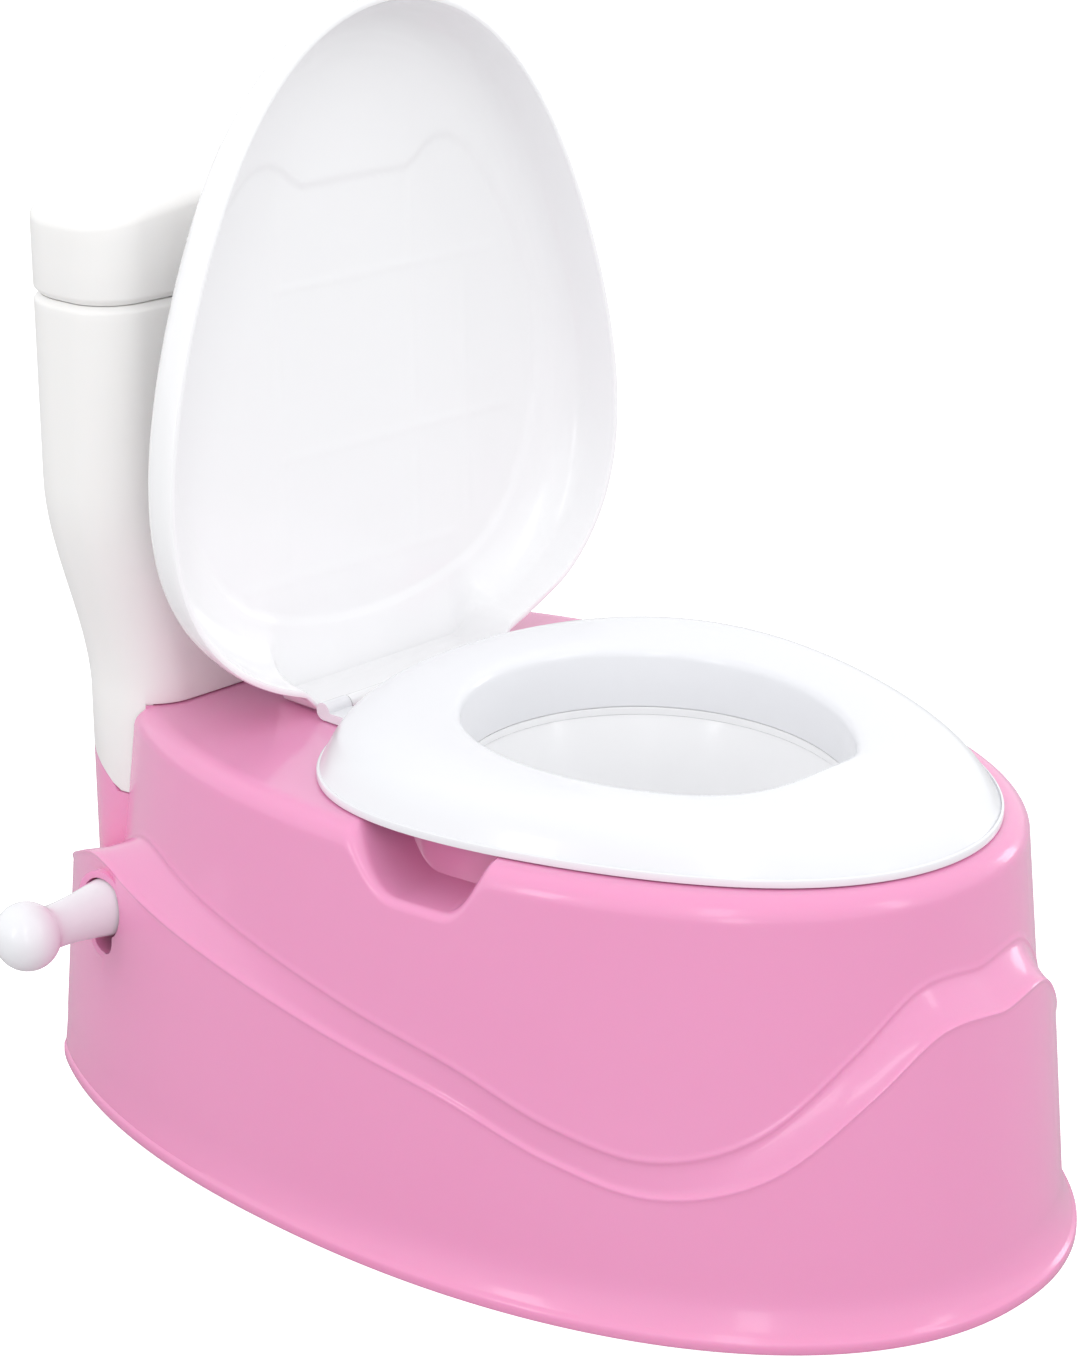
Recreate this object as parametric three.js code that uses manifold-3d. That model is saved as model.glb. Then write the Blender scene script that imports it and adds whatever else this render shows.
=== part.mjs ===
// A child's potty chair shaped like a small toilet: a hollow base, a lift-out seat and pot,
// a lid that folds down over the seat, a cistern with a lift-off lid, and a paper-roll peg.
// Millimetres. X runs across, -Y is the front, +Z is up, and the floor is at z = 0.
import * as THREE from "three";
import { mergeVertices } from "three/addons/utils/BufferGeometryUtils.js";
import Module from "manifold-3d";

const wasm = await Module();
wasm.setup();

// ---- Driving dimensions -------------------------------------------------------------------

const clearance = 0.4; // between pieces that fit each other
const turnSteps = 72; // points round a bent outline
const cornerSteps = 5; // points round a quarter corner

const base = {
  length: 406,
  halfWidth: 139.5,
  height: 157,
  wall: 2.6,
  widestBehindCentre: 28, // the widest station lies behind the middle
  footSquareness: 2.15,
  footBead: 5,
  frontFlare: 6.3, // how far the foot spreads past the wall
  backFlare: 2.5,
  flareHeight: 21,
  lowerDraft: 0.086,
  deckHalfWidth: 121.5,
  deckFrontGap: 27.5, // foot front to deck front
  deckWidestAt: 17.3, // behind the middle
  deckSquareness: 2.18,
  upperDraft: 0.095,
  edgeRadius: 9,
  ledgeRise: 12,
  backDraft: 0.3, // share of the sides' draft
  backEase: 36, // how sharply the flat back turns into the sides
};
// Height of the ledge between the wide foot and the slimmer upper body, by degrees from the front.
const ledgeHeights = [
  [0, 108.5], [13, 109], [24, 90], [37, 62], [49, 51.5], [60, 58], [72, 71.5], [86, 80.5],
  [100, 89], [111, 95], [117, 98.5], [122, 101], [127, 99.5], [134, 90], [141, 81], [152, 78.5],
  [180, 78],
];

const seat = {
  length: 250,
  eggWidth: 233.8,
  backEnd: 81, // how far its rear end lies behind the chair's middle
  lip: 3,
  crown: 24,
  crownFallToFront: 7,
  wall: 3,
  openingLength: 151,
  openingHalfWidth: 66,
  openingShift: 9.4, // behind the seat's own middle
  splashHeight: 5,
  splashSpread: 0.42, // radians either side of the front
  seatGap: 0.5, // lip to deck
};
const pot = {
  wall: 2.5,
  flange: 11.5, // reaches this far past the seat opening
  flangeThickness: 2.5,
  depth: 104,
  floorShrink: 20,
  floorRadius: 26,
};
// The hole in the deck: a wide mouth for the pot's flange, and a narrower throat below it.
const hole = { reach: pot.flange + 1, ledgeReach: pot.wall + 4, ledgeDrop: 7, below: 2.5 };
const grip = { centre: -31, topWidth: 54, floorWidth: 32, depth: 20, inward: 17, soften: 10 };

const lid = {
  oversize: 1.061,
  depth: 28,
  wall: 2.6,
  restAngle: 91, // degrees from closed to open
  axisBehindSeat: 8,
  axisHeight: 4, // above the deck
  rimHeight: 7, // above the deck when closed
  barrelRadius: 3.2,
  barrelHalfLength: 40,
  flapHalfWidth: 55,
};
const pin = { radius: 1.72, bore: 1.8, earWidth: 12 };

const cistern = {
  topHalfWidth: 109.5,
  footHalfWidth: 91,
  narrowFrom: 155, // the waist runs between these heights
  narrowTo: 245,
  frontAtDeck: 143.5,
  frontLean: 5.5,
  backGap: 6, // foot back to cistern back
  frontRadius: 20,
  backRadius: 29,
  wall: 3.2,
  seamHeight: 316,
  seamChamfer: 2.3,
  topHeight: 357,
  topRadius: 5,
  topCrown: 9,
  plugDepth: 9,
  legBottom: 120,
  legFront: 152,
  legFlat: 13,
  legBack: 188,
  legChamferRise: 15,
  legThickness: 5,
};
const holder = {
  y: 147,
  z: 83.5,
  rootRadius: 11.4,
  shaftRadius: 8.4,
  knobRadius: 13.3,
  knobCentre: 38.5, // from the wall
  reach: 51,
  holeRadius: 12,
  slotHalfWidth: 6,
  slotDrop: 19,
  slotRound: 6,
  sleeveDepth: 7.5, // from the wall's outer face
  tabThickness: 3,
  hubRadius: 8,
};

// ---- Solids -------------------------------------------------------------------------------

// A closed three.js geometry as a solid that can be cut and joined.
function solidOf(geometry) {
  const bare = new THREE.BufferGeometry();
  bare.setAttribute("position", geometry.getAttribute("position").clone());
  bare.setIndex(geometry.index);
  const merged = mergeVertices(bare, 1e-3);
  const index = merged.index.array;
  const triangles = [];
  for (let i = 0; i < index.length; i += 3) {
    const [a, b, c] = [index[i], index[i + 1], index[i + 2]];
    if (a !== b && b !== c && c !== a) triangles.push(a, b, c);
  }
  const position = merged.getAttribute("position");
  if (signedVolume(position, triangles) < 0) triangles.reverse();
  return new wasm.Manifold(
    new wasm.Mesh({
      numProp: 3,
      vertProperties: new Float32Array(position.array),
      triVerts: new Uint32Array(triangles),
    }),
  );
}

function signedVolume(position, triangles) {
  const [a, b, c] = [new THREE.Vector3(), new THREE.Vector3(), new THREE.Vector3()];
  let volume = 0;
  for (let i = 0; i < triangles.length; i += 3) {
    a.fromBufferAttribute(position, triangles[i]);
    b.fromBufferAttribute(position, triangles[i + 1]);
    c.fromBufferAttribute(position, triangles[i + 2]);
    volume += a.dot(b.cross(c)) / 6;
  }
  return volume;
}

function geometryOf(solid) {
  const mesh = solid.getMesh();
  const vertices = new Float32Array(mesh.numVert * 3);
  for (let i = 0; i < mesh.numVert; i++) {
    vertices.set(mesh.vertProperties.subarray(i * mesh.numProp, i * mesh.numProp + 3), i * 3);
  }
  const geometry = new THREE.BufferGeometry();
  geometry.setAttribute("position", new THREE.BufferAttribute(vertices, 3));
  geometry.setIndex(new THREE.BufferAttribute(mesh.triVerts, 1));
  geometry.computeVertexNormals();
  return geometry;
}

// Rings of points, lowest first, skinned and closed at both ends by a point in the middle.
function loft(rings) {
  const count = rings[0].length;
  const rows = [[middle(rings[0])], ...rings, [middle(rings.at(-1))]];
  const profile = rows.map((row, i) => new THREE.Vector2(row.length === 1 ? 0 : 1, i));
  const geometry = new THREE.LatheGeometry(profile, count);
  const position = geometry.getAttribute("position");
  for (let i = 0; i <= count; i++) {
    rows.forEach((row, j) => {
      const p = row[row.length === 1 ? 0 : i % count];
      position.setXYZ(i * rows.length + j, p.x, p.y, p.z);
    });
  }
  return solidOf(geometry);
}

function middle(ring) {
  const sum = ring.reduce((total, p) => total.add(p), new THREE.Vector3());
  return sum.divideScalar(ring.length);
}

function box(x0, x1, y0, y1, z0, z1) {
  const geometry = new THREE.BoxGeometry(x1 - x0, y1 - y0, z1 - z0);
  geometry.translate((x0 + x1) / 2, (y0 + y1) / 2, (z0 + z1) / 2);
  return solidOf(geometry);
}

// A cylinder along X.
function rod(radius, x0, x1, y, z, sides = 24) {
  const geometry = new THREE.CylinderGeometry(radius, radius, x1 - x0, sides);
  geometry.rotateZ(Math.PI / 2);
  geometry.translate((x0 + x1) / 2, y, z);
  return solidOf(geometry);
}

// An outline in the side view, given as [y, z] points, extruded along X.
function sidePrism(points, x0, x1) {
  const shape = new THREE.Shape(points.map(([y, z]) => new THREE.Vector2(y, z)));
  const geometry = new THREE.ExtrudeGeometry(shape, { depth: x1 - x0, bevelEnabled: false });
  geometry.applyMatrix4(
    new THREE.Matrix4().makeBasis(
      new THREE.Vector3(0, 1, 0),
      new THREE.Vector3(0, 0, 1),
      new THREE.Vector3(1, 0, 0),
    ),
  );
  geometry.translate(x0, 0, 0);
  return solidOf(geometry);
}

// ---- Outlines -----------------------------------------------------------------------------

const turns = Array.from({ length: turnSteps }, (_, i) => (i / turnSteps) * 2 * Math.PI);

function smoothMin(a, b, ease) {
  return a <= 0 ? a : (a ** -ease + b ** -ease) ** (-1 / ease);
}

// A long rounded outline, widest at y = middle, with its back cut off flat.
function longOutline(turn, { middle: y0, half, front, squareness, back }, inset, thickness = 0) {
  const c = Math.cos(turn);
  const s = Math.sin(turn);
  const k = (Math.abs(c) ** squareness + Math.abs(s) ** squareness) ** (-1 / squareness);
  const y = (front - inset - thickness) * s * k;
  const flatBack = back - y0 - inset * base.backDraft - thickness;
  return [(half - inset - thickness) * c * k, y0 + smoothMin(y, flatBack, base.backEase)];
}

// An egg that is blunt at the back (turn = a quarter) and tapers to the front.
function egg(turn, length, width, centre, grow = 0) {
  const t = turn - Math.PI / 2;
  const taper = 1 + 0.26 * Math.cos(t) + 0.083 * Math.cos(2 * t);
  const shrink = (width / 2 + grow) / (width / 2);
  return [
    -(width / 2) * shrink * Math.sin(t) * taper,
    centre + (length / 2 + grow) * Math.cos(t),
  ];
}

const halfLength = base.length / 2;
const footShape = {
  middle: base.widestBehindCentre,
  half: base.halfWidth,
  front: halfLength + base.widestBehindCentre,
  squareness: base.footSquareness,
  back: halfLength,
};
const deckShape = {
  middle: base.deckWidestAt,
  half: base.deckHalfWidth,
  front: halfLength - base.deckFrontGap + base.deckWidestAt,
  squareness: base.deckSquareness,
  back: halfLength - cistern.backGap - 2,
};
const edgeStart = base.height - base.edgeRadius;
const ledgeCurve = new THREE.SplineCurve(ledgeHeights.map(([a, z]) => new THREE.Vector2(a, z)));
const ledgePoints = ledgeCurve.getPoints(120);

// Radians between a turn and the front, the same on the left and on the right.
function fromFront(turn) {
  return Math.abs(THREE.MathUtils.euclideanModulo(turn + 1.5 * Math.PI, 2 * Math.PI) - Math.PI);
}

// Height of the ledge at a turn.
function ledgeAt(turn) {
  const degrees = THREE.MathUtils.radToDeg(fromFront(turn));
  const next = Math.max(1, ledgePoints.findIndex((p) => p.x >= degrees - 1e-9));
  const [p, q] = [ledgePoints[next - 1], ledgePoints[next]];
  return THREE.MathUtils.lerp(p.y, q.y, (degrees - p.x) / (q.x - p.x));
}

function flareAt(turn) {
  const share = THREE.MathUtils.smoothstep(fromFront(turn), Math.PI * 0.33, Math.PI * 0.72);
  return THREE.MathUtils.lerp(base.frontFlare, base.backFlare, share);
}
const lowerInset = (z, turn) => flareAt(turn) + base.lowerDraft * (z - base.flareHeight);
const upperInset = (z) => -base.upperDraft * (edgeStart - z);

// One ring of the base: side says which wall it lies on, height gives z at each turn.
function baseRing(side, height, thickness, extra = 0) {
  return turns.map((turn) => {
    const z = height(ledgeAt(turn));
    const low = longOutline(turn, footShape, lowerInset(z, turn) + extra, thickness);
    const high = longOutline(turn, deckShape, upperInset(z) + extra, thickness);
    const x = THREE.MathUtils.lerp(low[0], high[0], side);
    const y = THREE.MathUtils.lerp(low[1], high[1], side);
    return new THREE.Vector3(x, y, z);
  });
}

// A ring near the floor: share is how much of the flare it has lost.
function footRing(z, share, inset, thickness = 0) {
  return turns.map((turn) => {
    const [x, y] = longOutline(turn, footShape, share * flareAt(turn) + inset, thickness);
    return new THREE.Vector3(x, y, z);
  });
}

// The walls of the base from the flare up to the deck, moved in by a thickness.
function wallRings(thickness) {
  const rise = base.ledgeRise;
  const radius = base.edgeRadius - thickness;
  const rings = [
    baseRing(0, () => base.flareHeight, thickness),
    baseRing(0, (ledge) => ledge - 3, thickness),
    baseRing(0, (ledge) => ledge, thickness, 1),
    baseRing(1, (ledge) => ledge + rise - 2, thickness, -1),
    baseRing(1, (ledge) => ledge + rise + 1, thickness),
  ];
  for (const angle of [0, 30, 60, 90]) {
    const a = THREE.MathUtils.degToRad(angle);
    rings.push(
      baseRing(1, () => edgeStart + radius * Math.sin(a), thickness, radius * (1 - Math.cos(a))),
    );
  }
  return rings;
}

// An outline with four round corners, its front and back edges divided so that they can crown.
function cornered(halfWidth, front, back, frontRadius, backRadius, inset, z, crown = 0) {
  const w = halfWidth - inset;
  const corners = [
    [w, back - inset, backRadius - inset, 0, -1, -1],
    [-w, back - inset, backRadius - inset, 90, 1, -1],
    [-w, front + inset, frontRadius - inset, 180, 1, 1],
    [w, front + inset, frontRadius - inset, 270, -1, 1],
  ];
  const points = [];
  for (const [x, y, wanted, start, inX, inY] of corners) {
    const r = Math.max(wanted, 1);
    for (let i = 0; i <= cornerSteps; i++) {
      const a = THREE.MathUtils.degToRad(start + (90 * i) / cornerSteps);
      points.push([x + inX * r + r * Math.cos(a), y + inY * r + r * Math.sin(a)]);
    }
    const [lastX, lastY] = points.at(-1);
    if (start % 180 === 0) {
      for (let i = 1; i < 6; i++) points.push([THREE.MathUtils.lerp(lastX, -lastX, i / 6), lastY]);
    }
  }
  return points.map(([x, y]) => new THREE.Vector3(x, y, z - crown * (x / halfWidth) ** 2));
}

const cisternBack = halfLength - cistern.backGap;

function cisternRing(z, inset, crown = 0) {
  const waist = THREE.MathUtils.smoothstep(z, cistern.narrowFrom, cistern.narrowTo);
  const half = THREE.MathUtils.lerp(cistern.footHalfWidth, cistern.topHalfWidth, waist);
  const rise = (z - base.height) / (cistern.topHeight - base.height);
  const front = cistern.frontAtDeck - cistern.frontLean * rise;
  return cornered(half, front, cisternBack, cistern.frontRadius, cistern.backRadius, inset, z, crown);
}

// ---- Base shell ---------------------------------------------------------------------------

const seatCentre = seat.backEnd - seat.length / 2;
const openingCentre = seatCentre + seat.openingShift;
const openingWidth = 2 * seat.openingHalfWidth;
const openingEgg = (turn, grow) => {
  const t = turn - Math.PI / 2;
  return [
    -(openingWidth / 2 + grow) * Math.sin(t) * (1 + 0.1 * Math.cos(t)),
    openingCentre + (seat.openingLength / 2 + grow) * Math.cos(t),
  ];
};
const openingRing = (z, grow) =>
  turns.map((turn) => new THREE.Vector3(...openingEgg(turn, grow), z));

const legLine = (grow) => {
  const c = cistern;
  const front = c.legFront - grow;
  const bottom = c.legBottom - grow;
  return [
    [front, base.height + 20],
    [front, bottom],
    [front + c.legFlat + grow * 1.4, bottom],
    [c.legBack + grow, bottom + c.legChamferRise],
    [c.legBack + grow, base.height + 20],
  ];
};

function legSolid(grow, top) {
  const outer = loft([cisternRing(cistern.legBottom - 2, -grow), cisternRing(top, -grow)]);
  const inset = cistern.legThickness + grow;
  const inner = loft([cisternRing(cistern.legBottom - 3, inset), cisternRing(top + 1, inset)]);
  return outer.subtract(inner).intersect(sidePrism(legLine(grow), -base.halfWidth, base.halfWidth));
}

function gripSolid(grow, side) {
  const top = base.height + 5;
  const half = grip.topWidth / 2 + grow;
  const floor = grip.floorWidth / 2 + grow;
  const bottom = base.height - grip.depth - grow;
  const soften = grip.soften;
  const y = grip.centre;
  const outline = [
    [y - half - 4, top],
    [y - half, base.height - 3],
    [y - floor - 1, bottom + soften],
    [y - floor + soften, bottom],
    [y + floor - soften, bottom],
    [y + floor + 1, bottom + soften],
    [y + half, base.height - 3],
    [y + half + 4, top],
  ];
  const inner = base.deckHalfWidth - grip.inward - grow;
  const outer = base.halfWidth + 5;
  return side < 0 ? sidePrism(outline, -outer, -inner) : sidePrism(outline, inner, outer);
}

function keyhole() {
  const depth = base.halfWidth;
  const cut = rod(holder.holeRadius, -depth - 5, -depth + 55, holder.y, holder.z, 28);
  const foot = holder.z - holder.slotDrop + holder.slotRound;
  const slot = box(
    -depth - 5, -depth + 55,
    holder.y - holder.slotHalfWidth, holder.y + holder.slotHalfWidth,
    foot, holder.z,
  );
  return cut.add(slot).add(rod(holder.slotRound, -depth - 5, -depth + 55, holder.y, foot, 28));
}

// The wall's x at the peg, on the left side.
function wallAt(y, z) {
  const ring = turns.map((turn) => longOutline(turn, footShape, lowerInset(z, turn)));
  const left = ring.filter(([x, ringY]) => x < 0 && ringY > 0);
  left.sort((a, b) => Math.abs(a[1] - y) - Math.abs(b[1] - y));
  const [p, q] = left;
  return THREE.MathUtils.lerp(p[0], q[0], (y - p[1]) / (q[1] - p[1]));
}
const pegWall = wallAt(holder.y, holder.z);

// The sleeve behind the keyhole that the peg's hub turns in.
function keySleeve() {
  const reach = holder.holeRadius + base.wall;
  const [x0, x1] = [pegWall - 10, pegWall + holder.sleeveDepth];
  const foot = holder.z - holder.slotDrop + holder.slotRound;
  const outer = holder.slotRound + base.wall;
  return rod(reach, x0, x1, holder.y, holder.z, 28)
    .add(box(x0, x1, holder.y - outer, holder.y + outer, foot, holder.z))
    .add(rod(outer, x0, x1, holder.y, foot, 28));
}

function baseShell() {
  const bead = base.footBead;
  let body = loft([
    footRing(0, 0, 0.6),
    footRing(bead * 0.3, 0, 0),
    footRing(bead, 0, 0),
    footRing(bead + 2.5, 0.25, 0),
    footRing(base.flareHeight * 0.6, 0.72, 0),
    ...wallRings(0),
  ]);
  const plinthFoot = 60;
  const plinth = loft([cisternRing(plinthFoot, 0), cisternRing(base.height, 0)]);
  body = body.add(plinth);
  const wall = base.wall;
  let cavity = loft([
    footRing(-1, 0.6, 0, wall),
    footRing(bead, 0.6, 0, wall),
    ...wallRings(wall),
  ]);
  const plinthInset = cistern.legThickness + clearance + wall;
  const plinthCavity = loft([
    cisternRing(plinthFoot - 5, plinthInset),
    cisternRing(base.height - wall, plinthInset),
  ]);
  cavity = cavity.add(plinthCavity);
  const collar = loft([
    openingRing(base.height - hole.ledgeDrop - hole.below, hole.reach + wall),
    openingRing(base.height, hole.reach + wall),
  ]);
  cavity = cavity.subtract(collar);
  for (const side of [-1, 1]) cavity = cavity.subtract(gripSolid(wall, side));
  const mouth = loft([
    openingRing(base.height - hole.ledgeDrop, hole.reach),
    openingRing(base.height + 1, hole.reach),
  ]);
  const throat = loft([
    openingRing(base.height - hole.ledgeDrop - hole.below - 1, hole.ledgeReach),
    openingRing(base.height, hole.ledgeReach),
  ]);
  let shell = body.subtract(cavity).add(body.intersect(keySleeve()));
  shell = shell.subtract(mouth).subtract(throat).subtract(keyhole());
  shell = shell.subtract(legSolid(clearance, base.height + 5));
  for (const side of [-1, 1]) shell = shell.subtract(gripSolid(0, side));
  return shell;
}

// ---- Cistern ------------------------------------------------------------------------------

function cisternBody() {
  const floor = base.height + clearance;
  const { wall, seamHeight: seam, seamChamfer: chamfer, narrowFrom, narrowTo } = cistern;
  const waist = Array.from({ length: 5 }, (_, i) => {
    return cisternRing(THREE.MathUtils.lerp(narrowFrom + 15, narrowTo, i / 4), 0);
  });
  const outside = loft([
    cisternRing(floor, 0.8),
    cisternRing(floor + 1, 0),
    ...waist.slice(1),
    cisternRing(seam - chamfer, 0),
    cisternRing(seam - clearance / 2, chamfer),
  ]);
  const inWaist = Array.from({ length: 5 }, (_, i) => {
    return cisternRing(THREE.MathUtils.lerp(narrowFrom + 15, narrowTo, i / 4), wall);
  });
  const inside = loft([
    cisternRing(floor + wall, wall + 1),
    ...inWaist.slice(1),
    cisternRing(seam + 2, wall),
  ]);
  const legs = legSolid(0, floor + wall / 2);
  return outside.subtract(inside).add(legs);
}

function cisternLid() {
  const { wall, seamHeight: seam, seamChamfer: chamfer, topHeight: top, topRadius: r } = cistern;
  const under = seam + clearance / 2;
  const plug = wall + clearance;
  const crown = cistern.topCrown;
  const outside = loft([
    cisternRing(seam - cistern.plugDepth, plug),
    cisternRing(under, plug),
    cisternRing(under + 0.01, chamfer),
    cisternRing(seam + chamfer, 0),
    cisternRing(top - r, 0, crown),
    cisternRing(top - r * 0.4, r * 0.2, crown),
    cisternRing(top - r * 0.1, r * 0.6, crown),
    cisternRing(top, r * 1.4, crown),
  ]);
  const plugWall = plug + 2;
  const inside = loft([
    cisternRing(seam - cistern.plugDepth - 1, plugWall),
    cisternRing(seam + 3, plugWall),
    cisternRing(seam + 5, wall),
    cisternRing(top - r - wall, wall, crown),
    cisternRing(top - wall, wall + r, crown),
  ]);
  return outside.subtract(inside);
}

// ---- Seat ring and pot --------------------------------------------------------------------

const seatRing = (share, height) =>
  turns.map((turn) => {
    const rim = egg(turn, seat.length, seat.eggWidth, seatCentre);
    const inner = openingEgg(turn, 0);
    return new THREE.Vector3(
      THREE.MathUtils.lerp(rim[0], inner[0], share),
      THREE.MathUtils.lerp(rim[1], inner[1], share),
      base.height + height(crownAt(turn), splashAt(turn)),
    );
  });

function crownAt(turn) {
  return seat.crown - (seat.crownFallToFront * (1 - Math.sin(turn))) / 2;
}

// How far the front of the opening rises into a splash guard.
function splashAt(turn) {
  return seat.splashHeight * Math.exp(-((fromFront(turn) / seat.splashSpread) ** 2));
}

const collarDepth = hole.ledgeDrop - pot.flangeThickness - 2 * clearance;

function seatShell() {
  const { lip, wall, seatGap: gap } = seat;
  const across = seat.length / 2 - seat.openingLength / 2;
  const w = wall / across;
  const top = loft([
    seatRing(0, () => gap),
    seatRing(0, () => gap + lip - 0.6),
    seatRing(0.015, () => gap + lip),
    seatRing(0.05, (c) => gap + lip + c * 0.12),
    seatRing(0.12, (c) => gap + lip + c * 0.42),
    seatRing(0.24, (c) => c * 0.8),
    seatRing(0.38, (c) => c * 0.96),
    seatRing(0.52, (c) => c),
    seatRing(0.7, (c, s) => c * 0.97 + s * 0.3),
    seatRing(0.9, (c, s) => c * 0.9 + s * 0.85),
    seatRing(0.97, (c, s) => c * 0.84 + s),
  ]);
  const under = loft([
    seatRing(w, () => gap - 1),
    seatRing(w, () => gap + lip - 0.5),
    seatRing(0.12 + w, (c) => gap + lip + c * 0.3 - 1),
    seatRing(0.24 + w / 2, (c) => c * 0.8 - wall),
    seatRing(0.52, (c) => c - wall),
    seatRing(0.7, (c) => c * 0.97 - wall),
    seatRing(0.9, (c) => c * 0.9 - wall),
  ]);
  const through = loft([
    openingRing(base.height - collarDepth - 2, 0),
    openingRing(base.height + 2 * seat.crown, 0),
  ]);
  const collar = loft([
    openingRing(base.height - collarDepth, wall),
    openingRing(base.height + seat.crown * 0.6, wall),
  ]);
  const hinge = hingeAxis();
  let ring = top.subtract(under).add(collar).subtract(through);
  const earRadius = lid.barrelRadius + 0.2;
  for (const side of [-1, 1]) {
    const x0 = lid.barrelHalfLength + clearance + 0.2;
    const x1 = x0 + pin.earWidth;
    const [a, b] = side < 0 ? [-x1, -x0] : [x0, x1];
    const arm = box(
      a, b, hinge.y - lid.axisBehindSeat - 9, hinge.y,
      base.height + seat.seatGap, base.height + lid.axisHeight,
    );
    ring = ring.add(arm).add(rod(earRadius, a, b, hinge.y, hinge.z));
  }
  return ring.subtract(rod(pin.bore, -base.halfWidth, base.halfWidth, hinge.y, hinge.z, 16));
}

function potBowl() {
  const top = base.height - hole.ledgeDrop + clearance;
  const rim = top + pot.flangeThickness;
  const floor = base.height - pot.depth;
  const { wall, flange, floorShrink: shrink, floorRadius: radius } = pot;
  const outside = loft([
    openingRing(floor, -shrink - radius * 0.55),
    openingRing(floor + radius * 0.14, -shrink - radius * 0.2),
    openingRing(floor + radius * 0.5, -shrink + radius * 0.05),
    openingRing(floor + radius, -shrink + radius * 0.2),
    openingRing(top, wall + 1),
    openingRing(top, flange),
    openingRing(rim, flange),
  ]);
  const inside = loft([
    openingRing(floor + wall, -shrink - radius * 0.6),
    openingRing(floor + wall + radius * 0.14, -shrink - radius * 0.25 - wall),
    openingRing(floor + wall + radius * 0.5, -shrink + radius * 0.03 - wall),
    openingRing(floor + wall + radius, -shrink + radius * 0.18 - wall),
    openingRing(top, 1),
    openingRing(rim + 1, 1),
  ]);
  return outside.subtract(inside);
}

// ---- Lid, made closed about its hinge axis and turned open ----------------------------------

function hingeAxis() {
  return {
    y: seat.backEnd + lid.axisBehindSeat,
    z: base.height + lid.axisHeight,
  };
}

const lidLength = seat.length * lid.oversize;
const lidWidth = seat.eggWidth * lid.oversize;
const lidBack = lid.barrelRadius; // the rim's rear edge, behind the axis
const lidRim = lid.rimHeight - lid.axisHeight; // the rim's height above the axis

const lidRing = (inset, height) =>
  turns.map((turn) => {
    const [x, y] = egg(turn, lidLength, lidWidth, lidBack - lidLength / 2, -inset);
    return new THREE.Vector3(x, y, lidRim + height);
  });

function lidShell() {
  const { depth, wall, flapHalfWidth: flap, barrelRadius: r, barrelHalfLength: half } = lid;
  const outside = loft([
    lidRing(0, 0),
    lidRing(1.1, depth * 0.3),
    lidRing(2.7, depth * 0.5),
    lidRing(6.5, depth * 0.7),
    lidRing(13, depth * 0.86),
    lidRing(25, depth * 0.95),
    lidRing(58, depth),
  ]);
  const inside = loft([
    lidRing(wall, -1),
    lidRing(wall + 1.1, depth * 0.3),
    lidRing(wall + 2.6, depth * 0.47),
    lidRing(wall + 5.8, depth * 0.64),
    lidRing(wall + 11, depth * 0.78),
    lidRing(wall + 22, depth * 0.95 - wall),
    lidRing(60, depth - wall),
  ]);
  const outerFlap = box(-flap, flap, lidBack - 24, lidBack, lidRim, lidRim + depth);
  const innerFlap = box(
    -flap + wall, flap - wall, lidBack - 60, lidBack - wall, lidRim - 1, lidRim + depth - wall,
  );
  const cavity = inside.add(innerFlap);
  let shell = outside.add(outerFlap).subtract(cavity);
  const swing = r + 1.1; // keeps the flap clear of the seat's hinge ears
  for (const side of [-1, 1]) {
    const [a, b] = side < 0 ? [-flap - 1, -half] : [half, flap + 1];
    shell = shell.subtract(box(a, b, lidBack - 8, lidBack + 1, -r, swing));
  }
  const web = box(-half, half, 0, lidBack, 0, lidRim + 1);
  shell = shell.add(web).add(rod(r, -half, half, 0, 0));
  return shell.subtract(rod(pin.bore, -half - 1, half + 1, 0, 0, 16));
}

// ---- Paper-roll peg, along -X from its own origin at the wall ---------------------------------

function paperHolder() {
  const h = holder;
  const hub = 12;
  const knobBack = h.knobCentre - h.knobRadius * 0.86;
  const profile = [[0, -hub], [h.hubRadius, -hub], [h.hubRadius, -4], [h.rootRadius, -1]];
  const flare = 6;
  for (let i = 1; i <= flare; i++) {
    const share = i / flare;
    const radius = THREE.MathUtils.lerp(h.rootRadius, h.shaftRadius, Math.sin((share * Math.PI) / 2));
    profile.push([radius, share * knobBack]);
  }
  const knobSteps = 9;
  const flatness = (h.reach - h.knobCentre) / h.knobRadius;
  for (let i = 1; i <= knobSteps; i++) {
    const a = THREE.MathUtils.lerp(-0.27 * Math.PI, Math.PI / 2, i / knobSteps);
    const radius = i === knobSteps ? 0 : h.knobRadius * Math.cos(a);
    profile.push([radius, h.knobCentre + h.knobRadius * flatness * Math.sin(a)]);
  }
  const points = profile.map(([r, along]) => new THREE.Vector2(r, along));
  const geometry = new THREE.LatheGeometry(points, 28);
  geometry.rotateZ(Math.PI / 2);
  const tabBack = hub - 0.5;
  const tab = box(
    tabBack - h.tabThickness, tabBack,
    -h.slotDrop + 0.8, 0,
    -h.slotHalfWidth + 0.6, h.slotHalfWidth - 0.6,
  );
  return solidOf(geometry).add(tab);
}

// ---- The object -----------------------------------------------------------------------------

const pinkPlastic = new THREE.MeshStandardMaterial({ color: 0xeb8fc0, roughness: 0.28, metalness: 0 });
const whitePlastic = new THREE.MeshStandardMaterial({ color: 0xf6f7fb, roughness: 0.25, metalness: 0 });
const creamPlastic = new THREE.MeshStandardMaterial({ color: 0xf4f2ee, roughness: 0.35, metalness: 0 });
const steel = new THREE.MeshStandardMaterial({ color: 0xc9ccd0, roughness: 0.3, metalness: 1 });

function named(name, solid, material) {
  const mesh = new THREE.Mesh(geometryOf(solid), material);
  mesh.name = name;
  return mesh;
}

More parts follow.
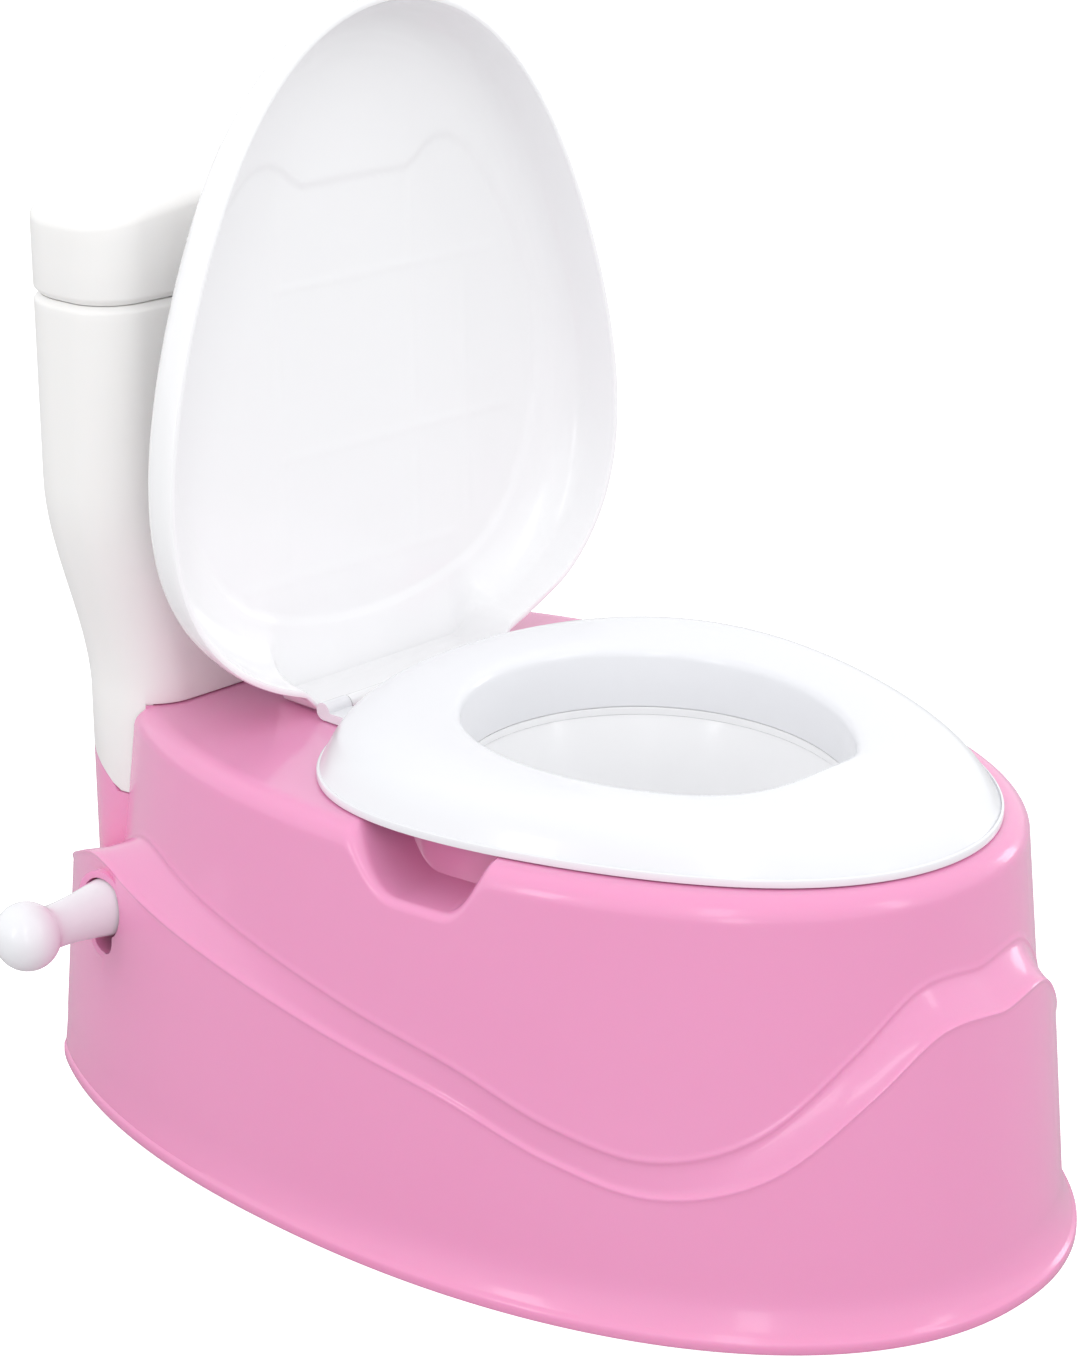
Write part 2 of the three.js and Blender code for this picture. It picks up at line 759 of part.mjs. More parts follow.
const chair = new THREE.Group();
chair.add(named("base_shell", baseShell(), pinkPlastic));
chair.add(named("cistern_body", cisternBody(), creamPlastic));
chair.add(named("cistern_lid", cisternLid(), creamPlastic));
chair.add(named("seat_ring", seatShell(), whitePlastic));
chair.add(named("pot_bowl", potBowl(), whitePlastic));

const axis = hingeAxis();
const pinEnd = lid.barrelHalfLength + pin.earWidth;
chair.add(named("hinge_pin", rod(pin.radius, -pinEnd, pinEnd, axis.y, axis.z, 16), steel));

const lidGroup = new THREE.Group();
lidGroup.position.set(0, axis.y, axis.z);
lidGroup.rotation.x = -THREE.MathUtils.degToRad(lid.restAngle);
lidGroup.add(named("lid", lidShell(), whitePlastic));
chair.add(lidGroup);

const peg = named("paper_holder", paperHolder(), whitePlastic);
peg.position.set(pegWall, holder.y, holder.z);
chair.add(peg);

// The peg sticks out on one side only, so the chair is moved over until the middle of the
// whole object stands on the origin.
chair.position.x = (holder.reach - peg.position.x - base.halfWidth) / 2;

const root = new THREE.Group();
root.add(chair);
export default root;
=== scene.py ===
"""A child's potty chair shaped like a small toilet, dressed in glossy moulded plastic.

Sizes in the classes are millimetres in the chair's own frame: X across, -Y the front, +Z up,
the chair's plane of symmetry at x = 0 and the floor at z = 0. Meshes are written in metres,
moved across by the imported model's own offset.
"""

from __future__ import annotations

import logging
import math
from dataclasses import dataclass, field, replace
from enum import Enum
from typing import Mapping, Sequence

import bpy
import numpy as np
from mathutils import Matrix, Vector


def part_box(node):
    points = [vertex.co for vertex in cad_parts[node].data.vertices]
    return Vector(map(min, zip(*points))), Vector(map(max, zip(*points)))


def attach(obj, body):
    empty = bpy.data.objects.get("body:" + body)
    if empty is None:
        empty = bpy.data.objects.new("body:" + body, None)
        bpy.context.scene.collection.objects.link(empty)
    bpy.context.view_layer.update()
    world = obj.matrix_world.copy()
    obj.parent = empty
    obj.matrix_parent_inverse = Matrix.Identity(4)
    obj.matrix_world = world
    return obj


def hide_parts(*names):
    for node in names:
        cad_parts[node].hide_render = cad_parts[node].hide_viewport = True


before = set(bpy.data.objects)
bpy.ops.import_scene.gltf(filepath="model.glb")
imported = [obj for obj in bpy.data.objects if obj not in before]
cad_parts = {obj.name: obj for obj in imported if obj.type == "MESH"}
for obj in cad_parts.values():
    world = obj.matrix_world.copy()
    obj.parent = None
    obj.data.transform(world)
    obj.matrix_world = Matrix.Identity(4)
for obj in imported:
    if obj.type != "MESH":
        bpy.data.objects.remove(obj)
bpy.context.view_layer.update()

Pair = tuple[float, float]
Triple = tuple[float, float, float]
Value = float | Sequence[float]
Wire = tuple[bpy.types.Node, str, bpy.types.Node, str]
GroupParts = tuple[bpy.types.NodeTree, bpy.types.Node, bpy.types.Node]
LOG = logging.getLogger("potty_chair")
MM = 0.001
FULL_TURN = 2 * math.pi
DECK = 157.0
BASE_LOW, BASE_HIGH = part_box("base_shell")
OFFSET_X = (BASE_LOW[0] + BASE_HIGH[0]) / 2


class Side(Enum):
    """The two sides of the chair, seen from its front."""

    LEFT = -1
    RIGHT = 1


class Cut(Enum):
    """What one solid does to another."""

    TAKE_AWAY = "DIFFERENCE"
    JOIN = "UNION"
    KEEP_COMMON = "INTERSECT"


# ---- Curves and outlines -------------------------------------------------------------------


def smooth_step(value: np.ndarray | float, low: float, high: float) -> np.ndarray:
    """Rises softly from 0 at low to 1 at high.

    Args:
        value: Where to measure.
        low: Where the rise starts.
        high: Where the rise ends.

    Returns:
        The share, from 0 to 1.
    """
    share = np.clip((np.asarray(value, dtype=float) - low) / (high - low), 0.0, 1.0)
    return share * share * (3 - 2 * share)


def mix(a: np.ndarray | float, b: np.ndarray | float, share: np.ndarray | float) -> np.ndarray:
    """A straight blend from a (share 0) to b (share 1)."""
    return a + (b - a) * share


def soft_least(a: np.ndarray, b: np.ndarray | float, ease: float) -> np.ndarray:
    """The smaller of two lengths, rounded where they cross.

    Args:
        a: First lengths, which may be negative.
        b: Second lengths, all above 0.
        ease: How sharp the crossing is.

    Returns:
        The rounded minimum, or a itself where a is not above 0.
    """
    b = np.broadcast_to(np.asarray(b, dtype=float), a.shape)
    low = np.minimum(a, b)
    high = np.maximum(a, b)
    rounded = low * (1 + (np.maximum(low, 1e-9) / high) ** ease) ** (-1 / ease)
    return np.where(a > 0, rounded, a)


def from_front(turn: np.ndarray) -> np.ndarray:
    """Radians between a turn and the chair's front, the same on both sides."""
    return np.abs((turn + 1.5 * math.pi) % FULL_TURN - math.pi)


def crowded_turns(count: int, crowds: Sequence[float], spread: float, gain: float) -> np.ndarray:
    """Angles once round, closer together near some of them.

    Args:
        count: How many angles.
        crowds: Angles to crowd around, in radians.
        spread: Radians either side that are crowded.
        gain: How much closer they stand there.

    Returns:
        The angles, rising from 0.
    """
    fine = np.linspace(0.0, FULL_TURN, 7201)
    weight = np.ones_like(fine)
    for middle in crowds:
        away = np.abs((fine - middle + math.pi) % FULL_TURN - math.pi)
        weight += gain * np.exp(-((away / spread) ** 4))
    total = np.concatenate([[0.0], np.cumsum((weight[1:] + weight[:-1]) / 2)])
    return np.interp(np.arange(count) / count * total[-1], total, fine)


@dataclass(frozen=True)
class LongOutline:
    """A long rounded outline with its back cut off flat."""

    middle: float
    half: float
    front: float
    squareness: float
    back: float
    back_draft: float = 0.3
    back_ease: float = 36.0

    def points(
        self, turn: np.ndarray, inset: np.ndarray | float, thickness: float = 0.0
    ) -> tuple[np.ndarray, np.ndarray]:
        """Where the outline runs.

        Args:
            turn: Angles round it.
            inset: How far it is drawn in, less at the back.
            thickness: How far it is drawn in, the same all round.

        Returns:
            The x and y of each point.
        """
        c, s = np.cos(turn), np.sin(turn)
        power = self.squareness
        k = (np.abs(c) ** power + np.abs(s) ** power) ** (-1 / power)
        y = (self.front - inset - thickness) * s * k
        flat = self.back - self.middle - inset * self.back_draft - thickness
        x = (self.half - inset - thickness) * c * k
        return x, self.middle + soft_least(y, flat, self.back_ease)


@dataclass(frozen=True)
class EggOutline:
    """An egg, blunt at the back, that tapers towards the front."""

    length: float
    width: float
    centre: float
    tail: float = 0.26
    bluntness: float = 0.083

    def points(self, turn: np.ndarray, grow: float = 0.0) -> tuple[np.ndarray, np.ndarray]:
        """The x and y of the egg at some turns, grown outwards by a distance."""
        t = turn - math.pi / 2
        taper = 1 + self.tail * np.cos(t) + self.bluntness * np.cos(2 * t)
        x = -(self.width / 2 + grow) * np.sin(t) * taper
        return x, self.centre + (self.length / 2 + grow) * np.cos(t)


@dataclass(frozen=True)
class OpeningOutline:
    """The open middle of the seat, also the pot's outline."""

    length: float = 151.0
    half_width: float = 66.0
    centre: float = -34.6
    tail: float = 0.1

    def ring(self, turn: np.ndarray, z: np.ndarray | float, grow: float) -> np.ndarray:
        """One ring of points.

        Args:
            turn: Angles round it.
            z: Height, one for all or one for each.
            grow: How far outside the opening it runs.

        Returns:
            Points as an array of rows of x, y, z.
        """
        t = turn - math.pi / 2
        x = -(self.half_width + grow) * np.sin(t) * (1 + self.tail * np.cos(t))
        y = self.centre + (self.length / 2 + grow) * np.cos(t)
        return stack(x, y, z)


def stack(x: np.ndarray, y: np.ndarray, z: np.ndarray | float) -> np.ndarray:
    """Joins coordinates into one array of points."""
    return np.stack([x, y, np.broadcast_to(np.asarray(z, dtype=float), x.shape)], axis=-1)


def through(points: Sequence[Pair], count: int) -> list[Pair]:
    """A smooth curve through points.

    Args:
        points: At least two points.
        count: How many stretches each gap is divided into.

    Returns:
        The points of the curve.
    """
    p = np.array([points[0], *points, points[-1]], dtype=float)
    made = []
    for before, here, after, beyond in zip(p, p[1:], p[2:], p[3:]):
        for t in np.arange(count) / count:
            slope = (after - before) * t
            bend = (2 * before - 5 * here + 4 * after - beyond) * t**2
            twist = (3 * here - before - 3 * after + beyond) * t**3
            made.append(0.5 * (2 * here + slope + bend + twist))
    made.append(p[-1])
    return [tuple(q) for q in made]


# ---- Modelling -----------------------------------------------------------------------------


def clear_selection() -> None:
    """Leaves edit mode and deselects everything."""
    if bpy.context.mode != "OBJECT":
        bpy.ops.object.mode_set(mode="OBJECT")
    bpy.ops.object.select_all(action="DESELECT")


def choose(obj: bpy.types.Object) -> None:
    """Makes one object the only one selected, and the active one."""
    clear_selection()
    obj.select_set(True)
    bpy.context.view_layer.objects.active = obj


def to_scene(points: np.ndarray) -> np.ndarray:
    """Millimetres in the chair's frame as metres in the scene."""
    return points * MM + np.array([OFFSET_X, 0.0, 0.0])


def weld(obj: bpy.types.Object, distance: float = 2e-6) -> None:
    """Merges corners that meet and turns every face outwards."""
    choose(obj)
    bpy.ops.object.mode_set(mode="EDIT")
    bpy.ops.mesh.select_all(action="SELECT")
    bpy.ops.mesh.remove_doubles(threshold=distance)
    bpy.ops.mesh.dissolve_degenerate(threshold=1e-7)
    bpy.ops.mesh.normals_make_consistent(inside=False)
    bpy.ops.object.mode_set(mode="OBJECT")


def skin(name: str, rows: Sequence[np.ndarray]) -> bpy.types.Object:
    """Extrudes a circle row by row and moves every corner to its place.

    A row that repeats one point closes the skin in a pole, and a last row equal to the first
    closes it on itself.

    Args:
        name: Name of the piece.
        rows: Rings of points in millimetres, all of one count.

    Returns:
        The new object.
    """
    places = np.stack(rows)
    columns = places.shape[1]
    clear_selection()
    bpy.ops.mesh.primitive_circle_add(vertices=columns, radius=1.0, fill_type="NOTHING")
    obj = bpy.context.object
    obj.name = obj.data.name = name
    bpy.ops.object.mode_set(mode="EDIT")
    bpy.ops.mesh.select_all(action="SELECT")
    for _ in range(len(rows) - 1):
        bpy.ops.mesh.extrude_edges_move(TRANSFORM_OT_translate={"value": (0.0, 0.0, 1.0)})
    bpy.ops.object.mode_set(mode="OBJECT")
    flat = np.empty(len(obj.data.vertices) * 3)
    obj.data.vertices.foreach_get("co", flat)
    corner = flat.reshape(-1, 3)
    row = np.rint(corner[:, 2]).astype(int)
    turn = np.arctan2(corner[:, 1], corner[:, 0])
    column = np.rint(turn / FULL_TURN * columns).astype(int) % columns
    obj.data.vertices.foreach_set("co", to_scene(places[row, column]).ravel())
    weld(obj)
    return obj


def pole(ring: np.ndarray, z: float | None = None) -> np.ndarray:
    """A row that is one point, in the middle of a ring."""
    middle = ring.mean(axis=0)
    if z is not None:
        middle[2] = z
    return np.repeat(middle[None, :], len(ring), axis=0)


def block(name: str, low: Sequence[float], high: Sequence[float]) -> bpy.types.Object:
    """A box between two corners in millimetres, as a start for a tool or a small piece."""
    clear_selection()
    bpy.ops.mesh.primitive_cube_add(size=1.0)
    obj = bpy.context.object
    obj.name = name
    corners = np.array([v.co[:] for v in obj.data.vertices])
    low_at, high_at = np.array(low, dtype=float), np.array(high, dtype=float)
    places = to_scene(low_at + (corners + 0.5) * (high_at - low_at))
    obj.data.vertices.foreach_set("co", places.ravel())
    return obj


def rod(
    name: str, radius: float, x0: float, x1: float, y: float, z: float, sides: int = 48
) -> bpy.types.Object:
    """A round bar along X.

    Args:
        name: Name of the object.
        radius: Its radius in millimetres.
        x0: Its left end.
        x1: Its right end.
        y: Where its axis runs.
        z: Where its axis runs.
        sides: How many sides it is divided into.

    Returns:
        The new object.
    """
    clear_selection()
    bpy.ops.mesh.primitive_cylinder_add(
        vertices=sides, radius=radius * MM, depth=(x1 - x0) * MM, rotation=(0, math.pi / 2, 0)
    )
    obj = bpy.context.object
    obj.name = name
    obj.location = to_scene(np.array([(x0 + x1) / 2, y, z]))
    bpy.ops.object.transform_apply(location=True, rotation=True, scale=True)
    return obj


def soften(obj: bpy.types.Object, width: float, segments: int = 3, angle: float = 40.0) -> None:
    """Rounds an object's sharp edges and applies the result."""
    choose(obj)
    bevel = obj.modifiers.new("soft edges", "BEVEL")
    bevel.width = width * MM
    bevel.segments = segments
    bevel.limit_method = "ANGLE"
    bevel.angle_limit = math.radians(angle)
    bpy.ops.object.modifier_apply(modifier=bevel.name)


def combine(target: bpy.types.Object, tool: bpy.types.Object, how: Cut) -> None:
    """Cuts or joins one solid with another, and uses the tool up.

    Args:
        target: The solid that stays.
        tool: The solid that is used up.
        how: What the tool does.
    """
    choose(target)
    modifier = target.modifiers.new("combine", "BOOLEAN")
    modifier.operation = how.value
    modifier.solver = "EXACT"
    modifier.object = tool
    bpy.ops.object.modifier_apply(modifier=modifier.name)
    bpy.data.objects.remove(tool, do_unlink=True)


def shade(obj: bpy.types.Object, angle: float = 38.0) -> None:
    """Smooth shading with edges kept above an angle in degrees."""
    choose(obj)
    bpy.ops.object.shade_smooth_by_angle(angle=math.radians(angle))


# ---- Finishes ------------------------------------------------------------------------------


class Effect(Enum):
    """Effects that several finishes share, each one a node group."""

    MOULD_SKIN = "mould_skin"
    HANDLING = "handling_marks"


def settle(node: bpy.types.Node, values: Mapping[str, Value]) -> bpy.types.Node:
    """Sets a node's own sockets by name, and gives the node back."""
    for name, value in values.items():
        node.inputs[name].default_value = value
    return node


def add_node(tree: bpy.types.NodeTree, kind: str, **values: float) -> bpy.types.Node:
    """Adds a node to a tree.

    Args:
        tree: The tree.
        kind: The node's type, without its ShaderNode.
        **values: Its sockets' values, each name written with _ for a space.

    Returns:
        The node.
    """
    node = tree.nodes.new(f"ShaderNode{kind}")
    return settle(node, {name.replace("_", " "): value for name, value in values.items()})


def wire(tree: bpy.types.NodeTree, *wires: Wire) -> None:
    """Links nodes, each wire giving a node and its output, then a node and its input."""
    for source, output, target, entry in wires:
        tree.links.new(source.outputs[output], target.inputs[entry])


def effect_group(which: Effect, takes: Mapping[str, float], gives: Sequence[str]) -> GroupParts:
    """Starts the node group of an effect, which takes a Vector before its numbers.

    Args:
        which: The effect.
        takes: Its numbers by name, with their values where nothing is linked.
        gives: Names of what it puts out.

    Returns:
        The group, its input node and its output node.
    """
    group = bpy.data.node_groups.new(which.value, "ShaderNodeTree")
    face = group.interface
    face.new_socket(name="Vector", in_out="INPUT", socket_type="NodeSocketVector")
    for name, value in takes.items():
        entry = face.new_socket(name=name, in_out="INPUT", socket_type="NodeSocketFloat")
        entry.default_value = value
    for name in gives:
        face.new_socket(name=name, in_out="OUTPUT", socket_type="NodeSocketFloat")
    return group, group.nodes.new("NodeGroupInput"), group.nodes.new("NodeGroupOutput")


def mould_skin_group() -> bpy.types.NodeTree:
    """The faint skin of moulded plastic: slow sink waves and a very fine orange peel."""
    takes = {"Wave Size": 18.0, "Peel Size": 900.0, "Wave Share": 0.7}
    group, given, result = effect_group(Effect.MOULD_SKIN, takes, ["Height"])
    waves = add_node(group, "TexNoise", Detail=1.5)
    peel = add_node(group, "TexNoise", Detail=2.0)
    blend = add_node(group, "Mix")
    wire(
        group,
        (given, "Vector", waves, "Vector"),
        (given, "Vector", peel, "Vector"),
        (given, "Wave Size", waves, "Scale"),
        (given, "Peel Size", peel, "Scale"),
        (given, "Wave Share", blend, "Factor"),
        (peel, "Fac", blend, "A"),
        (waves, "Fac", blend, "B"),
        (blend, "Result", result, "Height"),
    )
    return group


def handling_group() -> bpy.types.NodeTree:
    """Wiped and handled patches: where the gloss is a little duller and the colour shifts."""
    takes = {"Low": 0.2, "High": 0.3}
    group, given, result = effect_group(Effect.HANDLING, takes, ["Roughness", "Patches"])
    smears = add_node(group, "TexNoise", Scale=14.0, Detail=2.0)
    clouds = add_node(group, "TexNoise", Scale=7.0, Detail=2.0)
    level = add_node(group, "MapRange", From_Min=0.15, From_Max=0.85)
    wire(
        group,
        (given, "Vector", smears, "Vector"),
        (given, "Vector", clouds, "Vector"),
        (smears, "Fac", level, "Value"),
        (given, "Low", level, "To Min"),
        (given, "High", level, "To Max"),
        (level, "Result", result, "Roughness"),
        (clouds, "Fac", result, "Patches"),
    )
    return group


def new_surface(name: str) -> tuple[bpy.types.Material, bpy.types.NodeTree, bpy.types.Node]:
    """A new material, its node tree and its Principled BSDF."""
    material = bpy.data.materials.new(name)
    material.use_nodes = True
    return material, material.node_tree, material.node_tree.nodes["Principled BSDF"]


@dataclass(frozen=True)
class PlasticFinish:
    """A moulded plastic: two close colours in cloudy patches under a clear gloss."""

    name: str
    record_slot: str
    light_colour: Triple
    deep_colour: Triple
    dull: Pair
    skin_depth: float
    subsurface: float
    glow_reach: Triple
    coat: float

    def build(self) -> bpy.types.Material:
        """Makes the material from the shared effects."""
        material, tree, shader = new_surface(self.name)
        place = add_node(tree, "TexCoord")
        moulded = add_node(tree, "Group")
        moulded.node_tree = effect(Effect.MOULD_SKIN)
        handled = add_node(tree, "Group")
        handled.node_tree = effect(Effect.HANDLING)
        settle(handled, {"Low": self.dull[0], "High": self.dull[1]})
        tint = add_node(tree, "Mix")
        tint.data_type = "RGBA"
        settle(tint, {"A": (*self.deep_colour, 1.0), "B": (*self.light_colour, 1.0)})
        bump = add_node(tree, "Bump", Strength=1.0, Distance=self.skin_depth * MM)
        wire(
            tree,
            (place, "Object", moulded, "Vector"),
            (place, "Object", handled, "Vector"),
            (handled, "Patches", tint, "Factor"),
            (tint, "Result", shader, "Base Color"),
            (handled, "Roughness", shader, "Roughness"),
            (moulded, "Height", bump, "Height"),
            (bump, "Normal", shader, "Normal"),
        )
        own = {
            "IOR": 1.48,
            "Subsurface Weight": self.subsurface,
            "Subsurface Radius": self.glow_reach,
            "Subsurface Scale": 1.0,
            "Coat Weight": self.coat,
            "Coat Roughness": 0.06,
        }
        settle(shader, own)
        return material


@dataclass(frozen=True)
class DrawnSteelFinish:
    """Bright drawn wire with fine lines along X."""

    name: str = "drawn_steel"
    record_slot: str = "pin_steel"

    def build(self) -> bpy.types.Material:
        """Makes the material."""
        material, tree, shader = new_surface(self.name)
        settle(shader, {"Metallic": 1.0, "Base Color": (0.6, 0.61, 0.63, 1.0)})
        place = add_node(tree, "TexCoord")
        stretch = settle(add_node(tree, "Mapping"), {"Scale": (30.0, 3000.0, 3000.0)})
        lines = add_node(tree, "TexNoise", Scale=1.0)
        level = add_node(tree, "MapRange", To_Min=0.22, To_Max=0.4)
        wire(
            tree,
            (place, "Object", stretch, "Vector"),
            (stretch, "Vector", lines, "Vector"),
            (lines, "Fac", level, "Value"),
            (level, "Result", shader, "Roughness"),
        )
        return material


PINK = PlasticFinish(
    name="pink_moulded_plastic",
    record_slot="pink_plastic",
    light_colour=(0.86, 0.33, 0.55),
    deep_colour=(0.85, 0.3, 0.525),
    dull=(0.2, 0.27),
    skin_depth=0.06,
    subsurface=0.15,
    glow_reach=(0.012, 0.0025, 0.006),
    coat=0.35,
)
WHITE = PlasticFinish(
    name="white_moulded_plastic",
    record_slot="white_plastic",
    light_colour=(0.835, 0.84, 0.865),
    deep_colour=(0.825, 0.83, 0.855),
    dull=(0.2, 0.28),
    skin_depth=0.04,
    subsurface=0.08,
    glow_reach=(0.004, 0.004, 0.004),
    coat=0.3,
)
# The same white plastic painted lighter: painted light that lifts the shade on the pot in the seat's
# opening and on the lid's inner face. The real parts are the same white as the seat.
PAINTED_LIGHT_WHITE = replace(
    WHITE,
    name="white_plastic_painted_lighter",
    light_colour=(0.93, 0.93, 0.94),
    deep_colour=(0.92, 0.92, 0.93),
)
CREAM = PlasticFinish(
    name="cream_moulded_plastic",
    record_slot="cream_plastic",
    light_colour=(0.915, 0.905, 0.89),
    deep_colour=(0.905, 0.893, 0.875),
    dull=(0.34, 0.44),
    skin_depth=0.05,
    subsurface=0.08,
    glow_reach=(0.004, 0.0035, 0.003),
    coat=0.1,
)
STEEL = DrawnSteelFinish()
Finish = PlasticFinish | DrawnSteelFinish
EFFECTS: dict[Effect, bpy.types.NodeTree] = {}
MATERIALS: dict[str, bpy.types.Material] = {}


def effect(which: Effect) -> bpy.types.NodeTree:
    """A shared effect's node group, built the first time it is asked for."""
    if which not in EFFECTS:
        makers = {Effect.MOULD_SKIN: mould_skin_group, Effect.HANDLING: handling_group}
        EFFECTS[which] = makers[which]()
    return EFFECTS[which]


def dress(obj: bpy.types.Object, finish: Finish) -> None:
    """Gives an object one finish all over."""
    if finish.name not in MATERIALS:
        MATERIALS[finish.name] = finish.build()
    obj.data.materials.clear()
    obj.data.materials.append(MATERIALS[finish.name])


def hand_over(obj: bpy.types.Object, body: str, finish: Finish, *nodes: str) -> None:
    """Dresses a finished piece, hangs it on the rigid body it moves with and hides the nodes it
    stands for.

    Args:
        obj: The piece.
        body: The rigid body it moves with.
        finish: Its finish.
        *nodes: Names of the nodes it replaces.
    """
    dress(obj, finish)
    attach(obj, body)
    if nodes:
        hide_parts(*nodes)
    LOG.info("%s: %d faces on %s", obj.name, len(obj.data.polygons), body)


# ---- Cistern -------------------------------------------------------------------------------


@dataclass
class Cistern:
    """The hollow tank behind the lid, with skirt legs and a crowned lift-off cover."""

    top_half_width: float = 109.5
    foot_half_width: float = 91.0
    narrow_from: float = 155.0
    narrow_to: float = 245.0
    deck: float = DECK
    front_at_deck: float = 143.5
    front_lean: float = 5.5
    lean_at_legs: float = 0.8
    back: float = 197.0
    front_radius: float = 20.0
    back_radius: float = 29.0
    wall: float = 3.2
    floor: float = 157.4
    seam: float = 316.0
    chamfer: float = 2.3
    gap: float = 0.4
    top: float = 357.0
    top_radius: float = 5.0
    crown: float = 9.0
    plug_depth: float = 9.0
    leg_bottom: float = 120.0
    leg_front: float = 152.0
    leg_flat: float = 13.0
    leg_back: float = 188.0
    leg_rise: float = 15.0
    leg_thickness: float = 5.0
    leg_edge_pair: float = 0.5
    leg_edge_room: float = 1.6
    corner_steps: int = 18
    edge_steps: int = 14

    def half_at(self, z: float) -> float:
        """Half the tank's width at a height, through its waist."""
        waist = smooth_step(z, self.narrow_from, self.narrow_to)
        return float(mix(self.foot_half_width, self.top_half_width, waist))

    def front_at(self, z: float) -> float:
        """Where the tank's leaning front stands at a height."""
        return self.front_at_deck - self.front_lean * (z - self.deck) / (self.top - self.deck)

    def corner_angles(self, start: float) -> np.ndarray:
        """Angles round one corner, with a close pair at each edge of a leg."""
        regular = np.linspace(0.0, 90.0, self.corner_steps + 1)
        front_centre = self.front_at_deck + self.lean_at_legs + self.front_radius
        back_centre = self.back - self.back_radius
        front_edge = math.degrees(math.asin((front_centre - self.leg_front) / self.front_radius))
        back_edge = math.degrees(math.asin((self.leg_back - back_centre) / self.back_radius))
        edge = {0: back_edge, 90: 90 - back_edge, 180: front_edge, 270: 90 - front_edge}[int(start)]
        pair = np.array([edge - self.leg_edge_pair, edge + self.leg_edge_pair])
        far = regular[np.abs(regular - edge) > self.leg_edge_room]
        return np.sort(np.concatenate([far, pair])) + start

    def ring(self, z: float, inset: float, crown: float = 0.0) -> np.ndarray:
        """The tank's outline at a height.

        Args:
            z: Height of the ring.
            inset: How far inside the outer face it runs.
            crown: How far the ring's ends fall below its middle.

        Returns:
            The ring's points.
        """
        half, front = self.half_at(z), self.front_at(z)
        w = half - inset
        corners = [
            (w, self.back - inset, self.back_radius - inset, 0, -1, -1),
            (-w, self.back - inset, self.back_radius - inset, 90, 1, -1),
            (-w, front + inset, self.front_radius - inset, 180, 1, 1),
            (w, front + inset, self.front_radius - inset, 270, -1, 1),
        ]
        points = []
        for x, y, wanted, start, in_x, in_y in corners:
            radius = max(wanted, 1.0)
            a = np.radians(self.corner_angles(start))
            arc_x = x + in_x * radius + radius * np.cos(a)
            arc_y = y + in_y * radius + radius * np.sin(a)
            points += list(zip(arc_x, arc_y))
            if start in (0, 180):
                last_x, last_y = points[-1]
                shares = np.arange(1, self.edge_steps) / self.edge_steps
                points += [(mix(last_x, -last_x, share), last_y) for share in shares]
        flat = np.array(points)
        return stack(flat[:, 0], flat[:, 1], z - crown * (flat[:, 0] / half) ** 2)

    def skirt(self, ring: np.ndarray, lift: float = 0.0) -> np.ndarray:
        """Drops a ring to the lower edge of the legs.

        Args:
            ring: A ring near the tank's floor.
            lift: How far above the edge it stays.

        Returns:
            The ring with each point at the edge's height.
        """
        y = ring[:, 1]
        slope_start = self.leg_front + self.leg_flat
        rise = self.leg_rise * np.clip((y - slope_start) / (self.leg_back - slope_start), 0, 1)
        on_leg = (y > self.leg_front) & (y < self.leg_back)
        edge = np.where(on_leg, self.leg_bottom + rise, self.floor)
        return stack(ring[:, 0], y, edge + lift)

    def heights(self, low: float, high: float) -> list[float]:
        """Heights up the tank's wall, close together in the waist."""
        waist = np.linspace(self.narrow_from, self.narrow_to, 19)
        inside = [float(z) for z in waist if low + 2 < z < high - 2]
        return [low, *inside, *np.linspace(self.narrow_to + 12, high, 6)]

    def body(self) -> bpy.types.Object:
        """The tank with its skirt legs."""
        deep = self.leg_thickness
        lip = self.seam - self.gap / 2
        rows = [pole(self.ring(self.floor, deep + 20)), self.ring(self.floor, deep + 0.05)]
        rows += [self.skirt(self.ring(self.floor, deep)), self.skirt(self.ring(self.floor, 0.9))]
        rows += [self.skirt(self.ring(self.floor, 0.25), 0.25)]
        rows += [self.skirt(self.ring(self.floor, 0.0), 0.9)]
        rows += [self.ring(z, 0.0) for z in self.heights(self.floor + 1.0, self.seam - 6)]
        rows += [
            self.ring(self.seam - self.chamfer - 0.8, 0.0),
            self.ring(self.seam - self.chamfer - 0.1, 0.12),
            self.ring(self.seam - self.chamfer + 0.5, 0.55),
            self.ring(lip - 0.3, self.chamfer - 0.25),
            self.ring(lip, self.chamfer + 0.1),
            self.ring(lip, self.wall),
        ]
        inside = self.heights(self.floor + self.wall, self.seam - 6)
        rows += [self.ring(z, self.wall) for z in reversed(inside)]
        rows.append(pole(self.ring(self.floor + self.wall, 20), self.floor + self.wall))
        obj = skin("cistern_tank", rows)
        shade(obj, 32)
        return obj

    def shrunk(self, z: float, inset: float, crown: float, share: float) -> np.ndarray:
        """A ring drawn towards the tank's middle, kept on the crowned surface."""
        ring = self.ring(z, inset, 0.0)
        middle = ring.mean(axis=0)
        x = ring[:, 0] * share
        y = middle[1] + (ring[:, 1] - middle[1]) * share
        return stack(x, y, z - crown * (x / self.half_at(z)) ** 2)

